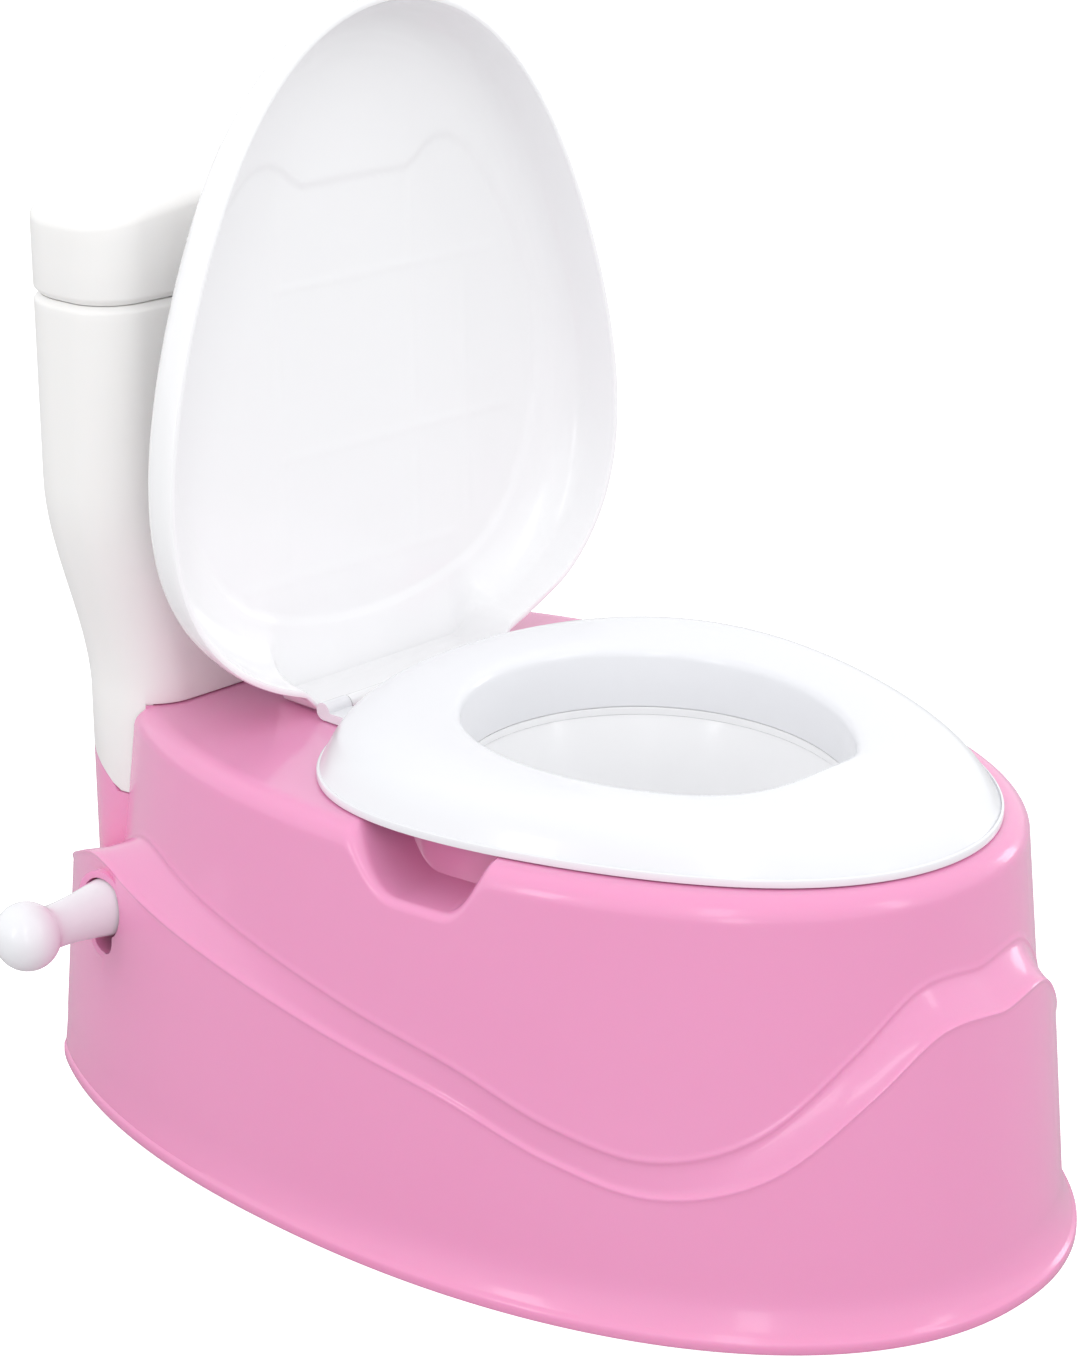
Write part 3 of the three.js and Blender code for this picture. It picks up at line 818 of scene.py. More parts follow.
    def cover(self) -> bpy.types.Object:
        """The lift-off cover: crowned, with a plug rim that drops into the tank."""
        under = self.seam + self.gap / 2
        plug = self.wall + self.gap
        r, top, crown = self.top_radius, self.top, self.crown
        low = self.seam - self.plug_depth
        rows = [self.ring(low + 0.6, plug + 2), self.ring(low, plug + 1.6)]
        rows += [self.ring(low, plug + 0.5), self.ring(low + 0.6, plug), self.ring(under, plug)]
        rows += [
            self.ring(under, self.chamfer + 0.1),
            self.ring(under + 0.3, self.chamfer - 0.25),
            self.ring(self.seam + self.chamfer - 0.5, 0.55),
            self.ring(self.seam + self.chamfer + 0.1, 0.12),
            self.ring(self.seam + self.chamfer + 0.8, 0.0),
            self.ring(mix(self.seam, top, 0.4), 0.0, crown * 0.3),
            self.ring(mix(self.seam, top, 0.7), 0.0, crown * 0.7),
        ]
        for angle in range(0, 91, 10):
            a = math.radians(angle)
            z = top - r + r * math.sin(a)
            rows.append(self.ring(z, r * 1.4 * (1 - math.cos(a)), crown))
        rows += [self.shrunk(top, r * 1.4, crown, s) for s in (0.97, 0.85, 0.65, 0.4, 0.2, 0.0)]
        inner = top - self.wall
        rows += [self.shrunk(inner, r + self.wall, crown, s) for s in (0.0, 0.2, 0.4, 0.65, 0.85)]
        rows += [self.ring(inner, self.wall + r, crown), self.ring(inner - r, self.wall, crown)]
        rows += [self.ring(self.seam + 5, self.wall), self.ring(self.seam + 3, plug + 2)]
        rows.append(rows[0])
        obj = skin("cistern_cover_crowned", rows)
        shade(obj, 32)
        return obj

    def leg_pocket(self, side: Side, grow: float) -> bpy.types.Object:
        """The space that one leg takes in the base.

        Args:
            side: Which leg.
            grow: Clearance left round it.

        Returns:
            A tool to cut the base with.
        """
        low, high = self.leg_bottom - 2, self.floor + 6
        deep = self.leg_thickness + grow
        rows = [self.ring(low, deep), self.ring(low, -grow), self.ring(high, -grow)]
        rows += [self.ring(high, deep), self.ring(low, deep)]
        pocket = skin("pocket", rows)
        near, far = sorted((side.value * 60.0, side.value * 140.0))
        bottom = self.leg_bottom - grow
        prism = block(
            "prism", (near, self.leg_front - grow, bottom), (far, self.leg_back + grow, high + 5)
        )
        choose(prism)
        bpy.ops.object.mode_set(mode="EDIT")
        bpy.ops.mesh.select_all(action="SELECT")
        start = self.leg_front + self.leg_flat + grow * 1.4
        run = self.leg_back + grow - start
        bpy.ops.mesh.bisect(
            plane_co=tuple(to_scene(np.array([0.0, start, bottom]))),
            plane_no=(0.0, self.leg_rise, -run),
            use_fill=True,
            clear_outer=True,
        )
        bpy.ops.object.mode_set(mode="OBJECT")
        combine(pocket, prism, Cut.KEEP_COMMON)
        return pocket

    def build(self) -> None:
        """Builds, dresses and hands over the tank and its cover."""
        hand_over(self.body(), "base", CREAM, "cistern_body")
        hand_over(self.cover(), "cistern_cover", CREAM, "cistern_lid")


# ---- Base ----------------------------------------------------------------------------------


@dataclass
class PegMount:
    """Where the paper-roll peg sits, and the keyhole it locks into."""

    y: float = 147.0
    z: float = 83.5
    hole_radius: float = 12.0
    slot_half_width: float = 6.0
    slot_drop: float = 19.0
    slot_round: float = 6.0
    sleeve_depth: float = 7.5


@dataclass
class Base:
    """The pink hollow base: foot, wavy ledge, deck with its hole, grips and rear plinth."""

    height: float = DECK
    wall: float = 2.6
    front_flare: float = 6.3
    back_flare: float = 2.5
    flare_height: float = 21.0
    lower_draft: float = 0.086
    upper_draft: float = 0.095
    edge_radius: float = 9.0
    ledge_rise: float = 12.0
    grip_centre: float = -29.0
    grip_front: float = 27.0
    grip_rear: float = 37.0
    grip_depth: float = 20.5
    grip_inward: float = 31.0
    grip_edge_radius: float = 3.8
    grip_turn: float = 14.5
    grip_spread: float = 12.0
    grip_crowding: float = 2.6
    mouth: float = 12.5
    throat: float = 6.5
    shelf_drop: float = 7.0
    shelf_thickness: float = 2.5
    plinth_foot: float = 60.0
    columns: int = 300
    peg_wall: float = -114.21
    keyhole_ends: Pair = (-145.0, -85.0)
    foot: LongOutline = LongOutline(28.0, 139.5, 231.0, 2.15, 203.0)
    deck: LongOutline = LongOutline(17.3, 121.5, 192.8, 2.18, 195.0)
    opening: OpeningOutline = OpeningOutline()
    cistern: Cistern = field(default_factory=Cistern)
    peg: PegMount = field(default_factory=PegMount)
    ledge_heights: tuple[Pair, ...] = (
        (0, 108.5), (13, 109), (24, 90), (37, 62), (49, 51.5), (60, 58), (72, 71.5), (86, 80.5),
        (100, 89), (111, 95), (117, 98.5), (122, 101), (127, 99.5), (134, 90), (141, 81),
        (152, 78.5), (180, 78),
    )  # fmt: skip

    def __post_init__(self) -> None:
        """Works out the columns round the base and the ledge's height at each."""
        grips = [math.radians(-self.grip_turn), math.radians(180 + self.grip_turn)]
        spread = math.radians(self.grip_spread)
        self.turn = crowded_turns(self.columns, grips, spread, self.grip_crowding)
        curve = np.array(through(self.ledge_heights, 12))
        degrees = np.degrees(from_front(self.turn))
        self.ledge = np.interp(degrees, curve[:, 0], curve[:, 1])
        rearward = smooth_step(from_front(self.turn), math.pi * 0.33, math.pi * 0.72)
        self.flare = mix(self.front_flare, self.back_flare, rearward)
        edge_y = self.deck.points(self.turn, 0.0)[1]
        away = edge_y - self.grip_centre
        reach = np.where(away > 0, away / self.grip_rear, -away / self.grip_front)
        at_side = np.abs(np.cos(self.turn)) > 0.5
        bowl = smooth_step(1 - np.clip(reach, 0, 1) ** 1.9, 0.0, 0.9)
        grip = np.where(at_side, bowl, 0.0)
        self.edge_drop = self.grip_depth * grip
        self.edge_round = mix(self.edge_radius, self.grip_edge_radius, grip)

    def foot_row(self, z: float, share: float, inset: float, thickness: float = 0.0) -> np.ndarray:
        """A ring near the floor.

        Args:
            z: Height.
            share: How much of the flare it has lost.
            inset: A further inset.
            thickness: How far inside the outer face it runs.

        Returns:
            The ring's points.
        """
        x, y = self.foot.points(self.turn, share * self.flare + inset, thickness)
        return stack(x, y, z)

    def wall_row(
        self, side: float, z: np.ndarray, extra: float = 0.0, thickness: float = 0.0
    ) -> np.ndarray:
        """A ring on the walls.

        Args:
            side: 0 on the wide lower wall, 1 on the slimmer upper wall.
            z: Height at each column.
            extra: A further inset.
            thickness: How far inside the outer face it runs.

        Returns:
            The ring's points.
        """
        low_inset = self.flare + self.lower_draft * (z - self.flare_height)
        high_inset = -self.upper_draft * (self.height - self.edge_radius - z)
        low = self.foot.points(self.turn, low_inset + extra, thickness)
        high = self.deck.points(self.turn, high_inset + extra, thickness)
        return stack(mix(low[0], high[0], side), mix(low[1], high[1], side), z)

    def shell_rows(self, thickness: float, bead_rows: bool) -> list[np.ndarray]:
        """Rings up one face of the wall, from the flare to the flat of the deck.

        Args:
            thickness: 0 for the outer face, or the wall's thickness for the inner one.
            bead_rows: Whether the foot's bead is followed.

        Returns:
            The rings, lowest first.
        """
        t, rise = thickness, self.ledge_rise
        rows = []
        if bead_rows:
            foot_profile = (
                (0.0, 0.0, 0.9), (0.35, 0.0, 0.35), (1.1, 0.0, 0.05), (2.6, 0.0, 0.0),
                (3.9, 0.0, 0.1), (4.7, 0.0, 0.5), (5.3, 0.1, 0.75), (6.2, 0.22, 0.5),
                (8.0, 0.4, 0.3), (10.5, 0.6, 0.1), (14.0, 0.8, 0.0), (17.5, 0.93, 0.0),
            )  # fmt: skip
            rows += [self.foot_row(*entry) for entry in foot_profile]
        else:
            rows += [self.foot_row(0.0, 0.6, 0.0, t), self.foot_row(8.0, 0.6, 0.0, t)]
        start = np.full_like(self.ledge, self.flare_height)
        for share in np.linspace(0.0, 1.0, 8):
            rows.append(self.wall_row(0.0, mix(start, self.ledge - 6.0, share), 0.0, t))
        band = (
            (0.0, -3.4, 0.0), (0.0, -1.9, -0.04), (0.0, -1.3, -0.2), (0.0, -0.8, -0.42),
            (0.0, -0.3, -0.5), (0.01, 0.15, -0.36), (0.04, 0.55, 0.0), (0.08, 0.95, 0.34),
            (0.13, 1.4, 0.56), (0.22, 2.2, 0.66), (0.38, rise * 0.3, 0.7), (0.58, rise * 0.5, 0.7),
            (0.76, rise * 0.68, 0.68), (0.88, rise * 0.82, 0.6), (0.94, rise * 0.9, 0.42),
            (0.97, rise * 0.945, 0.16), (0.99, rise * 0.985, -0.12), (1.0, rise * 1.025, -0.32),
            (1.0, rise * 1.07, -0.36), (1.0, rise * 1.12, -0.24), (1.0, rise * 1.18, -0.06),
            (1.0, rise * 1.27, 0.0),
        )  # fmt: skip
        rows += [self.wall_row(side, self.ledge + up, extra, t) for side, up, extra in band]
        radius = self.edge_round - t
        rim = self.height - self.edge_drop - self.edge_round
        for share in (0.25, 0.5, 0.75, 0.92):
            rows.append(self.wall_row(1.0, mix(self.ledge + rise * 1.27, rim, share), 0.0, t))
        for angle in range(0, 91, 9):
            a = math.radians(angle)
            ring = self.wall_row(1.0, rim, radius * (1 - math.cos(a)), t)
            ring[:, 2] = rim + radius * math.sin(a)
            rows.append(ring)
        for inset in (10.5, 14, 18, 22, 26, 28.2, 29.2, 30.1, 31, 31.9, 32.8, 34, 36):
            ring = self.wall_row(1.0, rim, inset - t, t)
            lifted = smooth_step(inset - t, self.grip_inward - 1.9, self.grip_inward + 2.4)
            ring[:, 2] = self.height - t - self.edge_drop * (1 - lifted)
            rows.append(ring)
        return rows

    def deck_rows(self, edge: np.ndarray, z: float, reach: float) -> list[np.ndarray]:
        """Rings across the flat of the deck, from near its edge to its hole."""
        mouth = self.opening.ring(self.turn, z, reach)
        return [mix(edge, mouth, share) for share in (0.3, 0.6, 0.85, 0.97)]

    def shell(self) -> bpy.types.Object:
        """The shell as one skin: up the outside, through the hole and down the inside."""
        ring, turn, top = self.opening.ring, self.turn, self.height
        shelf = top - self.shelf_drop
        low = shelf - self.shelf_thickness
        rows = self.shell_rows(0.0, True)
        rows += self.deck_rows(rows[-1], top, self.mouth + 1.3)
        hole = (
            (self.mouth + 1.3, top), (self.mouth + 0.6, top - 0.12), (self.mouth + 0.15, top - 0.5),
            (self.mouth, top - 1.1), (self.mouth, shelf + 0.5), (self.mouth - 0.5, shelf),
            (self.throat + 0.7, shelf), (self.throat, shelf - 0.6), (self.throat, low + 0.3),
            (self.throat + 0.3, low), (self.mouth + self.wall, low),
            (self.mouth + self.wall, top - self.wall),
        )  # fmt: skip
        rows += [ring(turn, z, grow) for grow, z in hole]
        inside = self.shell_rows(self.wall, False)
        rows += reversed(self.deck_rows(inside[-1], top - self.wall, self.mouth + self.wall + 1))
        rows += reversed(inside)
        rows.append(rows[0])
        return skin("base_body", rows)

    def plinth(self, inset: float, low: float, high: float) -> bpy.types.Object:
        """The block under the tank, or the hollow inside it."""
        c = self.cistern
        rows = [pole(c.ring(low, inset))]
        rows += [c.ring(low, inset), c.ring(high, inset)]
        rows.append(pole(c.ring(high, inset)))
        return skin("plinth", rows)

    def keyhole(self, grow: float, x0: float, x1: float) -> bpy.types.Object:
        """A keyhole-shaped bar along X: the hole, and a round-ended slot below it.

        Args:
            grow: How far outside the keyhole it runs.
            x0: Its left end.
            x1: Its right end.

        Returns:
            The bar, a tool for the base.
        """
        p = self.peg
        foot = p.z - p.slot_drop + p.slot_round
        w = p.slot_half_width + grow
        bar = rod("keyhole", p.hole_radius + grow, x0, x1, p.y, p.z, 72)
        combine(bar, block("slot", (x0, p.y - w, foot), (x1, p.y + w, p.z)), Cut.JOIN)
        combine(bar, rod("slot_end", p.slot_round + grow, x0, x1, p.y, foot, 48), Cut.JOIN)
        return bar

    def build(self) -> None:
        """Builds the base, cuts its pockets and keyhole, and hands it over."""
        c, p = self.cistern, self.peg
        obj = self.shell()
        combine(obj, self.plinth(0.0, self.plinth_foot, self.height - 0.02), Cut.JOIN)
        hollow = c.leg_thickness + c.gap + self.wall
        cavity = self.plinth(hollow, self.plinth_foot - 5, self.height - self.wall)
        combine(obj, cavity, Cut.TAKE_AWAY)
        for side in Side:
            combine(obj, c.leg_pocket(side, c.gap), Cut.TAKE_AWAY)
        sleeve = self.keyhole(self.wall, self.peg_wall - 1.6, self.peg_wall + p.sleeve_depth)
        combine(obj, sleeve, Cut.JOIN)
        combine(obj, self.keyhole(0.0, *self.keyhole_ends), Cut.TAKE_AWAY)
        weld(obj, 1e-6)
        shade(obj, 33)
        hand_over(obj, "base", PINK, "base_shell")


# ---- Seat and pot --------------------------------------------------------------------------


@dataclass
class Hinge:
    """The axis that the lid turns on."""

    y: float = 89.0
    z: float = 161.0
    barrel_radius: float = 3.2
    barrel_half: float = 40.0
    ear_width: float = 12.0
    bore: float = 1.8
    bore_half: float = 52.1
    cutter_half: float = 60.0


@dataclass
class Seat:
    """The egg-shaped seat, crowned, with a splash hump, a collar and two hinge ears."""

    deck: float = DECK
    gap: float = 0.5
    lip: float = 3.0
    crown: float = 24.0
    crown_fall: float = 7.0
    wall: float = 3.0
    splash: float = 5.0
    splash_spread: float = 0.42
    collar_depth: float = 4.02
    columns: int = 240
    rim: EggOutline = EggOutline(250.0, 233.8, -44.0)
    opening: OpeningOutline = OpeningOutline()
    hinge: Hinge = field(default_factory=Hinge)

    def __post_init__(self) -> None:
        """Works out the crown and the splash hump at each column."""
        self.turn = np.arange(self.columns) / self.columns * FULL_TURN
        self.crown_at = self.crown - self.crown_fall * (1 - np.sin(self.turn)) / 2
        away = from_front(self.turn) / self.splash_spread
        self.splash_at = self.splash * np.exp(-(away**2))

    def row(self, share: float, base: float, crown: float, splash: float = 0.0) -> np.ndarray:
        """A ring between the rim and the opening.

        Args:
            share: 0 at the rim, 1 at the opening.
            base: Height above the deck.
            crown: Share of the crown's height added.
            splash: Share of the splash hump added.

        Returns:
            The ring's points.
        """
        rim_x, rim_y = self.rim.points(self.turn)
        inner = self.opening.ring(self.turn, 0.0, 0.0)
        z = self.deck + base + crown * self.crown_at + splash * self.splash_at
        return stack(mix(rim_x, inner[:, 0], share), mix(rim_y, inner[:, 1], share), z)

    def ring_body(self) -> bpy.types.Object:
        """The seat as one closed skin."""
        lip = self.gap + self.lip
        top = (
            (0.008, self.gap, 0.0, 0.0), (0.002, self.gap + 0.15, 0.0, 0.0),
            (0.0, self.gap + 0.6, 0.0, 0.0), (0.0, lip - 0.7, 0.0, 0.0),
            (0.003, lip - 0.25, 0.0, 0.0), (0.010, lip, 0.0, 0.0), (0.017, lip + 0.1, 0.0, 0.0),
        )  # fmt: skip
        rows = [self.row(*entry) for entry in top]
        arch = (
            (0.021, 0.155), (0.05, 0.275), (0.085, 0.42), (0.13, 0.57), (0.18, 0.7), (0.24, 0.81),
            (0.31, 0.895), (0.39, 0.955), (0.47, 0.988), (0.55, 1.0), (0.64, 0.995), (0.73, 0.975),
            (0.82, 0.945), (0.89, 0.912), (0.935, 0.88), (0.965, 0.845), (0.985, 0.8), (0.996, 0.75),
            (1.0, 0.69),
        )  # fmt: skip
        for share, part in through(arch, 2):
            rows.append(self.row(share, 0.0, part, float(smooth_step(share, 0.6, 0.97))))
        z = self.deck
        ring = self.opening.ring
        rows += [ring(self.turn, z + 6, 0.0), ring(self.turn, z - self.collar_depth + 0.5, 0.0)]
        rows += [ring(self.turn, z - self.collar_depth, 0.5)]
        rows += [ring(self.turn, z - self.collar_depth, self.wall - 0.5)]
        rows += [ring(self.turn, z - self.collar_depth + 0.5, self.wall)]
        thick = -self.wall
        under = (
            (0.88, thick, 0.9), (0.7, thick, 0.965), (0.52, thick, 0.985), (0.36, thick, 0.93),
            (0.24, thick, 0.79), (0.15, thick, 0.6), (0.08, thick, 0.4),
        )  # fmt: skip
        rows += [self.row(share, lift, part) for share, lift, part in under]
        rows += [self.row(0.045, lip - 0.6, 0.02), self.row(0.045, self.gap, 0.0), rows[0]]
        return skin("seat_crowned", rows)

    def ears(self) -> list[bpy.types.Object]:
        """The two arms that carry the hinge pin."""
        h = self.hinge
        made = []
        for side in Side:
            x0 = h.barrel_half + 0.6
            low, high = sorted((side.value * x0, side.value * (x0 + h.ear_width)))
            arm = block("arm", (low, h.y - 17, self.deck + self.gap), (high, h.y, h.z))
            knuckle = rod("knuckle", h.barrel_radius + 0.2, low, high, h.y, h.z)
            combine(arm, knuckle, Cut.JOIN)
            made.append(arm)
        return made

    def build(self) -> None:
        """Builds the seat with its ears and hands it over."""
        obj = self.ring_body()
        for ear in self.ears():
            combine(obj, ear, Cut.JOIN)
        h = self.hinge
        bore = rod("bore", h.bore, -h.bore_half, h.bore_half, h.y, h.z, 32)
        combine(obj, bore, Cut.TAKE_AWAY)
        weld(obj, 1e-6)
        shade(obj, 33)
        hand_over(obj, "seat", WHITE, "seat_ring")


@dataclass
class Pot:
    """The removable pot, hanging by its flange in the deck's hole."""

    deck: float = DECK
    shelf_drop: float = 6.6
    wall: float = 2.5
    flange: float = 11.5
    flange_thickness: float = 2.5
    depth: float = 104.0
    shrink: float = 20.0
    radius: float = 26.0
    columns: int = 200
    opening: OpeningOutline = OpeningOutline()

    def face(self, turn: np.ndarray, inset: float, lift: float) -> list[np.ndarray]:
        """Rings up one face of the bowl, from its floor to its top."""
        floor = self.deck - self.depth + lift
        rows = []
        for angle in np.linspace(0, 84, 12):
            a = math.radians(float(angle))
            out = -self.shrink - inset - self.radius * (1 - math.sin(a)) * 0.75
            rows.append(self.opening.ring(turn, floor + self.radius * (1 - math.cos(a)), out))
        last = floor + self.radius * (1 - math.cos(math.radians(84)))
        top = self.deck - self.shelf_drop
        for share in np.linspace(0.12, 1.0, 9):
            grow = mix(-self.shrink - inset, 1.0 + self.wall - inset, share)
            rows.append(self.opening.ring(turn, mix(last, top - 1.0, share), grow))
        return rows

    def build(self) -> None:
        """Builds the pot and hands it over."""
        turn = np.arange(self.columns) / self.columns * FULL_TURN
        ring = self.opening.ring
        under = self.deck - self.shelf_drop
        rim = under + self.flange_thickness
        outside = self.face(turn, 0.0, 0.0)
        rows = [pole(outside[0]), *outside]
        flange = (
            (self.wall + 2.0, under), (self.flange - 0.6, under), (self.flange, under + 0.5),
            (self.flange, rim - 0.6), (self.flange - 0.5, rim), (1.3, rim), (0.5, rim - 0.15),
            (0.25, rim - 0.6), (0.4, rim - 3.0),
        )  # fmt: skip
        rows += [ring(turn, z, grow) for grow, z in flange]
        inside = self.face(turn, self.wall, self.wall)
        rows += [*reversed(inside), pole(inside[0])]
        obj = skin("pot_moulded", rows)
        shade(obj, 33)
        # The pot gets the white plastic painted lighter: painted light against the shade inside the
        # seat's opening.
        hand_over(obj, "seat", PAINTED_LIGHT_WHITE, "pot_bowl")


# ---- Lid -----------------------------------------------------------------------------------


@dataclass
class Lid:
    """The deep lid, made closed about its hinge and turned open."""

    length: float = 265.25
    width: float = 248.1
    depth: float = 28.0
    wall: float = 2.6
    rest_angle: float = 91.0
    rim: float = 3.0
    back: float = 3.2
    flap_half: float = 50.0
    columns: int = 320
    panel_depth: float = 0.9
    rib_height: float = 0.28
    rib_spread: float = 1.3
    panel: tuple[Pair, ...] = (
        (0, 21.5), (15, 22.4), (30, 24.5), (43, 27.5), (54, 31.5), (64, 37), (73, 44.5),
        (80, 53), (86, 63), (91, 75), (94.5, 89), (96, 104), (96, 119), (93.5, 135), (88.5, 151),
        (81, 167), (72, 181), (62, 193), (56, 198.5), (50, 201.5), (43, 202), (37, 199.5),
        (32, 195), (27, 192.3), (14, 192.3), (0, 192.6),
    )  # fmt: skip
    upright_ribs: tuple[Triple, ...] = (
        (-41.0, 53.0, 186.0), (29.5, 47.0, 186.0), (57.6, 51.0, 150.0),
    )  # fmt: skip
    level_ribs: tuple[Triple, ...] = (
        (155.0, -41.0, 72.0), (90.0, -41.0, 80.0), (43.0, -62.0, 48.0),
    )  # fmt: skip
    hinge: Hinge = field(default_factory=Hinge)

    def __post_init__(self) -> None:
        """Works out the columns and the outline."""
        self.turn = np.arange(self.columns) / self.columns * FULL_TURN
        self.outline = EggOutline(self.length, self.width, self.back - self.length / 2)

    def row(self, round_point: Pair, flap_point: Pair) -> np.ndarray:
        """A ring of the closed lid about its hinge.

        Args:
            round_point: Inset and height above the rim, away from the flap.
            flap_point: The same on the square flap at the back.

        Returns:
            The ring's points, before the lid is turned open.
        """
        x, y = self.outline.points(self.turn, -round_point[0])
        near = 1 - smooth_step(np.abs(x), self.flap_half - 4, self.flap_half + 7)
        reach = 1 - float(smooth_step(round_point[0], 10.0, 24.0))
        flap = near * smooth_step(y, -44.0, -20.0)
        y = mix(y, self.back - flap_point[0], flap * reach)
        z = self.rim + mix(np.full_like(x, round_point[1]), flap_point[1], flap)
        if round_point[1] < 1.2:
            z = z + 1.6 * smooth_step(np.abs(x), 38.0, 41.0) * smooth_step(y, -22.0, -10.0)
        return stack(x, y, z)

    def relief(self, ring: np.ndarray) -> np.ndarray:
        """Presses the inner panel and its faint rib lines into a ring of the inner face.

        Args:
            ring: Points of the closed lid's inner face.

        Returns:
            The points, moved away from the seat where the panel lies.
        """
        half = np.array(self.panel)
        loop = np.vstack([half, half[::-1] * np.array([-1.0, 1.0])])
        at = np.stack([ring[:, 0], -ring[:, 1]], axis=-1)
        a, b = loop, np.roll(loop, -1, axis=0)
        along = b - a
        to = at[:, None, :] - a[None]
        size = np.maximum((along**2).sum(-1), 1e-9)
        share = np.clip((to * along[None]).sum(-1) / size, 0, 1)
        gap = np.linalg.norm(to - share[..., None] * along[None], axis=-1).min(axis=1)
        above = a[None, :, 1] > at[:, None, 1]
        crossed = above != (b[None, :, 1] > at[:, None, 1])
        lean = along[:, 0] / np.where(np.abs(along[:, 1]) < 1e-9, 1e-9, along[:, 1])
        hits = crossed & (to[..., 0] < to[..., 1] * lean[None])
        inside = hits.sum(axis=1) % 2 == 1
        signed = np.where(inside, gap, -gap)
        press = self.panel_depth * smooth_step(signed, -1.1, 1.1)
        for across, ribs in ((0, self.upright_ribs), (1, self.level_ribs)):
            run = at[:, 1 - across]
            for place, low, high in ribs:
                on = smooth_step(run, low - 3, low) * (1 - smooth_step(run, high, high + 3))
                away = (at[:, across] - place) / self.rib_spread
                press = press - self.rib_height * on * np.exp(-(away**2))
        return stack(ring[:, 0], ring[:, 1], ring[:, 2] + press)

    def opened(self, rows: Sequence[np.ndarray]) -> list[np.ndarray]:
        """Turns rings open about the hinge and puts them in place."""
        a = -math.radians(self.rest_angle)
        c, s = math.cos(a), math.sin(a)
        made = []
        for row in rows:
            y = row[:, 1] * c - row[:, 2] * s + self.hinge.y
            z = row[:, 1] * s + row[:, 2] * c + self.hinge.z
            made.append(stack(row[:, 0], y, z))
        return made

    def build(self) -> None:
        """Builds the lid with its barrel and hands it over."""
        d, w = self.depth, self.wall
        outer = (
            (0.9, 0.0), (0.25, 0.25), (0.0, 0.9), (0.05, 3.0), (0.5, 6.0), (1.1, 8.4), (1.8, 11.4),
            (2.7, 14.0), (4.2, 17.0), (6.5, 19.6), (9.4, 22.1), (13.0, 24.1), (18.0, 25.6),
            (25.0, 26.6), (38.0, 27.4), (58.0, 27.9), (80.0, 28.0), (100.0, 28.0),
        )  # fmt: skip
        outer_flap = (
            (0.9, 0.0), (0.25, 0.25), (0.0, 0.9), (0.0, 3.0), (0.0, 6.0), (0.0, 9.0), (0.0, 13.0),
            (0.0, 17.0), (0.0, 20.5), (0.3, 23.5), (1.5, 26.0), (4.0, 27.5), (8.0, 28.0),
            (20.0, 28.0), (38.0, 28.0), (58.0, 28.0), (80.0, 28.0), (100.0, 28.0),
        )  # fmt: skip
        inner = [
            (w - 0.9, 0.0), (w - 0.2, 0.3), (w, 1.0), (w + 0.4, 4.0), (w + 1.1, 8.0),
            (w + 2.1, 12.0), (w + 3.6, 15.5), (w + 5.8, 18.0), (w + 8.6, 20.1), (w + 12.0, 21.8),
        ]  # fmt: skip
        inner_flap = [
            (w - 0.9, 0.0), (w - 0.2, 0.3), (w, 1.0), (w, 5.0), (w, 10.0), (w, 15.0),
            (w, 20.0), (w + 0.2, 23.4), (w + 1.0, 25.1), (w + 3.4, 25.4),
        ]  # fmt: skip
        levels = ((w + 12, 21.8), (w + 17, 23.2), (w + 23, 24.1), (40, 24.8), (58, 25.3), (80, 25.4))
        reach, rise = np.array(levels).T
        for inset in np.arange(w + 13.6, 117.0, 1.6):
            inner.append((float(inset), float(np.interp(inset, reach, rise))))
            inner_flap.append((float(inset), 25.4))
        outside = [self.row(*pair) for pair in zip(outer, outer_flap)]
        inside = [self.relief(self.row(*pair)) for pair in zip(inner, inner_flap)]
        top = pole(outside[-1], self.rim + d)
        under = pole(inside[-1], float(inside[-1][:, 2].mean()))
        rows = [top, *reversed(outside), *inside, under]
        obj = skin("lid_deep", self.opened(rows))
        h = self.hinge
        barrel = rod("barrel", h.barrel_radius, -h.barrel_half, h.barrel_half, h.y, h.z)
        web_low = (-h.barrel_half, h.y + 0.2, h.z - h.barrel_radius)
        web = block("web", web_low, (h.barrel_half, h.y + 4.4, h.z))
        combine(barrel, web, Cut.JOIN)
        combine(obj, barrel, Cut.JOIN)
        bore = rod("bore", h.bore, -h.cutter_half, h.cutter_half, h.y, h.z, 32)
        combine(obj, bore, Cut.TAKE_AWAY)
        weld(obj, 1e-6)
        shade(obj, 33)
        # The lid gets the white plastic painted lighter: painted light that washes out the shading
        # on its inner face.
        hand_over(obj, "seat_lid", PAINTED_LIGHT_WHITE, "lid")


# ---- Peg and pin ---------------------------------------------------------------------------


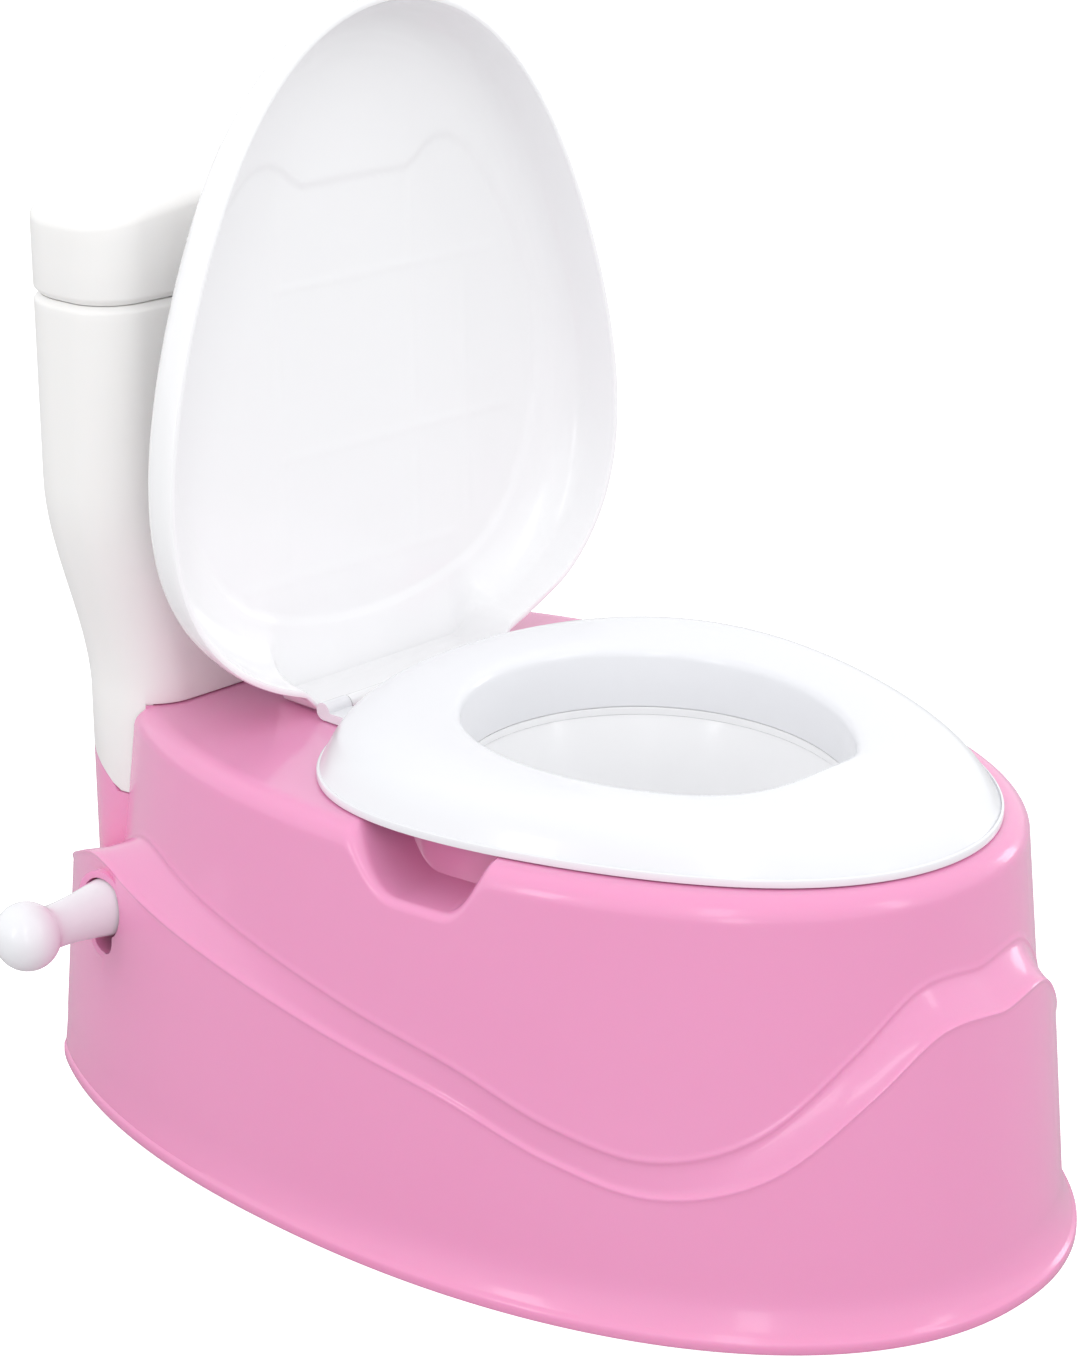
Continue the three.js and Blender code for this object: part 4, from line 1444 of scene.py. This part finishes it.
@dataclass
class Peg:
    """The paper-roll peg: hub, flared root, shaft and a ball end, along -X from the wall."""

    root: float = 11.4
    shaft: float = 8.4
    knob: float = 13.3
    knob_centre: float = 38.5
    reach: float = 51.0
    hub: float = 8.0
    hub_depth: float = 12.0
    tab_thickness: float = 3.0
    columns: int = 72
    mount: PegMount = field(default_factory=PegMount)

    def profile(self) -> list[tuple[float, float]]:
        """Radius against distance from the wall."""
        knob_back = self.knob_centre - self.knob * 0.86
        points = [(0.0, -self.hub_depth), (self.hub - 0.5, -self.hub_depth)]
        points += [(self.hub, -self.hub_depth + 0.5), (self.hub, -4.0), (self.root, -1.0)]
        for share in np.linspace(0.1, 1.0, 10):
            radius = mix(self.root, self.shaft, math.sin(share * math.pi / 2))
            points.append((float(radius), float(share * knob_back)))
        flatness = (self.reach - self.knob_centre) / self.knob
        for angle in np.linspace(-0.25, 0.5, 22):
            a = float(angle) * math.pi
            along = self.knob_centre + self.knob * flatness * math.sin(a)
            points.append((max(self.knob * math.cos(a), 0.0), along))
        return points

    def build(self, wall_x: float) -> None:
        """Builds the peg and hands it over.

        Args:
            wall_x: Where the base's wall stands at the peg.
        """
        m = self.mount
        turn = np.arange(self.columns) / self.columns * FULL_TURN
        rows = []
        for radius, along in self.profile():
            y = m.y + radius * np.cos(turn)
            rows.append(stack(np.full_like(turn, wall_x - along), y, m.z + radius * np.sin(turn)))
        obj = skin("peg_with_ball", rows)
        deep = wall_x + self.hub_depth
        w = m.slot_half_width - 0.6
        low = (deep - 0.5 - self.tab_thickness, m.y - m.slot_drop + 0.8, m.z - w)
        tab = block("tab", low, (deep - 0.5, m.y, m.z + w))
        soften(tab, 0.5)
        combine(obj, tab, Cut.JOIN)
        weld(obj, 1e-6)
        shade(obj, 35)
        hand_over(obj, "peg", WHITE, "paper_holder")


def dress_pin() -> None:
    """Gives the hinge pin, kept as it is, its steel."""
    dress(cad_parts["hinge_pin"], STEEL)


# ---- Studio --------------------------------------------------------------------------------


@dataclass
class Studio:
    """A pale floor, a bright surround, soft boxes and the camera."""

    camera_place: Triple = (-843.03, -757.45, 581.44)
    azimuth: float = -47.097
    elevation: float = 19.445
    lens: float = 86.24
    sensor: float = 36.0
    floor_size: float = 40.0
    lamp_aim: Triple = (0.0, 0.0, 0.17)

    def camera(self) -> None:
        """Makes the camera."""
        a, e = math.radians(self.azimuth), math.radians(self.elevation)
        back = Vector((math.sin(a) * math.cos(e), -math.cos(a) * math.cos(e), math.sin(e)))
        right = Vector((math.cos(a), math.sin(a), 0.0))
        up = back.cross(right)
        data = bpy.data.cameras.new("camera")
        data.lens = self.lens
        data.sensor_width = self.sensor
        data.clip_start, data.clip_end = 0.05, 100.0
        obj = bpy.data.objects.new("camera", data)
        bpy.context.scene.collection.objects.link(obj)
        turn = Matrix((right, up, back)).transposed().to_4x4()
        place = Vector(to_scene(np.array(self.camera_place)))
        obj.matrix_world = Matrix.Translation(place) @ turn
        bpy.context.scene.camera = obj

    def lamp(self, name: str, place: Triple, size: Pair, power: float) -> None:
        """Adds one soft box, turned towards the chair.

        Args:
            name: Name of the lamp.
            place: Where it hangs, in metres.
            size: Its width and height.
            power: Its power in watts.
        """
        data = bpy.data.lights.new(name, "AREA")
        data.shape = "RECTANGLE"
        data.size, data.size_y = size
        data.energy = power
        obj = bpy.data.objects.new(name, data)
        bpy.context.scene.collection.objects.link(obj)
        obj.location = place
        way = Vector(self.lamp_aim) - Vector(place)
        obj.rotation_euler = way.to_track_quat("-Z", "Y").to_euler()

    def floor(self) -> None:
        """Lays the pale floor, plain white to the camera."""
        clear_selection()
        bpy.ops.mesh.primitive_plane_add(size=self.floor_size)
        obj = bpy.context.object
        obj.name = "floor"
        material, tree, shader = new_surface("floor_paper")
        grey, white = (0.5, 0.5, 0.5, 1.0), (1.0, 1.0, 1.0, 1.0)
        settle(shader, {"Base Color": grey, "Roughness": 0.85, "Emission Color": white})
        path = add_node(tree, "LightPath")
        wire(tree, (path, "Is Camera Ray", shader, "Emission Strength"))
        obj.data.materials.append(material)

    def surround(self) -> None:
        """A white surround, brightest overhead."""
        world = bpy.data.worlds.new("bright_surround")
        world.use_nodes = True
        tree = world.node_tree
        glow = settle(tree.nodes["Background"], {"Color": (0.985, 0.99, 1.0, 1.0)})
        way = add_node(tree, "TexCoord")
        split = add_node(tree, "SeparateXYZ")
        level = add_node(tree, "MapRange", From_Min=-0.05, From_Max=0.75, To_Min=1.06, To_Max=1.14)
        wire(
            tree,
            (way, "Generated", split, "Vector"),
            (split, "Z", level, "Value"),
            (level, "Result", glow, "Strength"),
        )
        bpy.context.scene.world = world

    def build(self) -> None:
        """Builds the whole studio."""
        self.camera()
        self.floor()
        self.surround()
        self.lamp("key_strip", (-1.5, -1.0, 1.5), (0.3, 1.2), 3.0)
        self.lamp("low_strip", (-1.72, -1.38, 0.42), (0.3, 0.75), 1.7)
        self.lamp("left_strip", (-2.1, 0.25, 0.95), (0.3, 0.8), 3.0)
        self.lamp("front_strip", (0.35, -2.0, 1.1), (0.3, 1.2), 3.0)
        self.lamp("right_box", (2.2, -0.75, 0.55), (0.5, 0.8), 4.0)
        bpy.context.scene.view_settings.view_transform = "Standard"
        bpy.context.scene.view_settings.look = "None"


# ---- The whole chair -----------------------------------------------------------------------


def main() -> None:
    """Builds the studio and every sub-assembly in order."""
    logging.basicConfig(level=logging.INFO, format="%(name)s %(message)s")
    Studio().build()
    Base().build()
    Cistern().build()
    Seat().build()
    Pot().build()
    Lid().build()
    peg = Peg()
    peg_tip = (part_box("paper_holder")[0][0] - OFFSET_X) / MM
    peg.build(peg_tip + peg.reach)
    dress_pin()


if __name__ == "__main__":
    main()
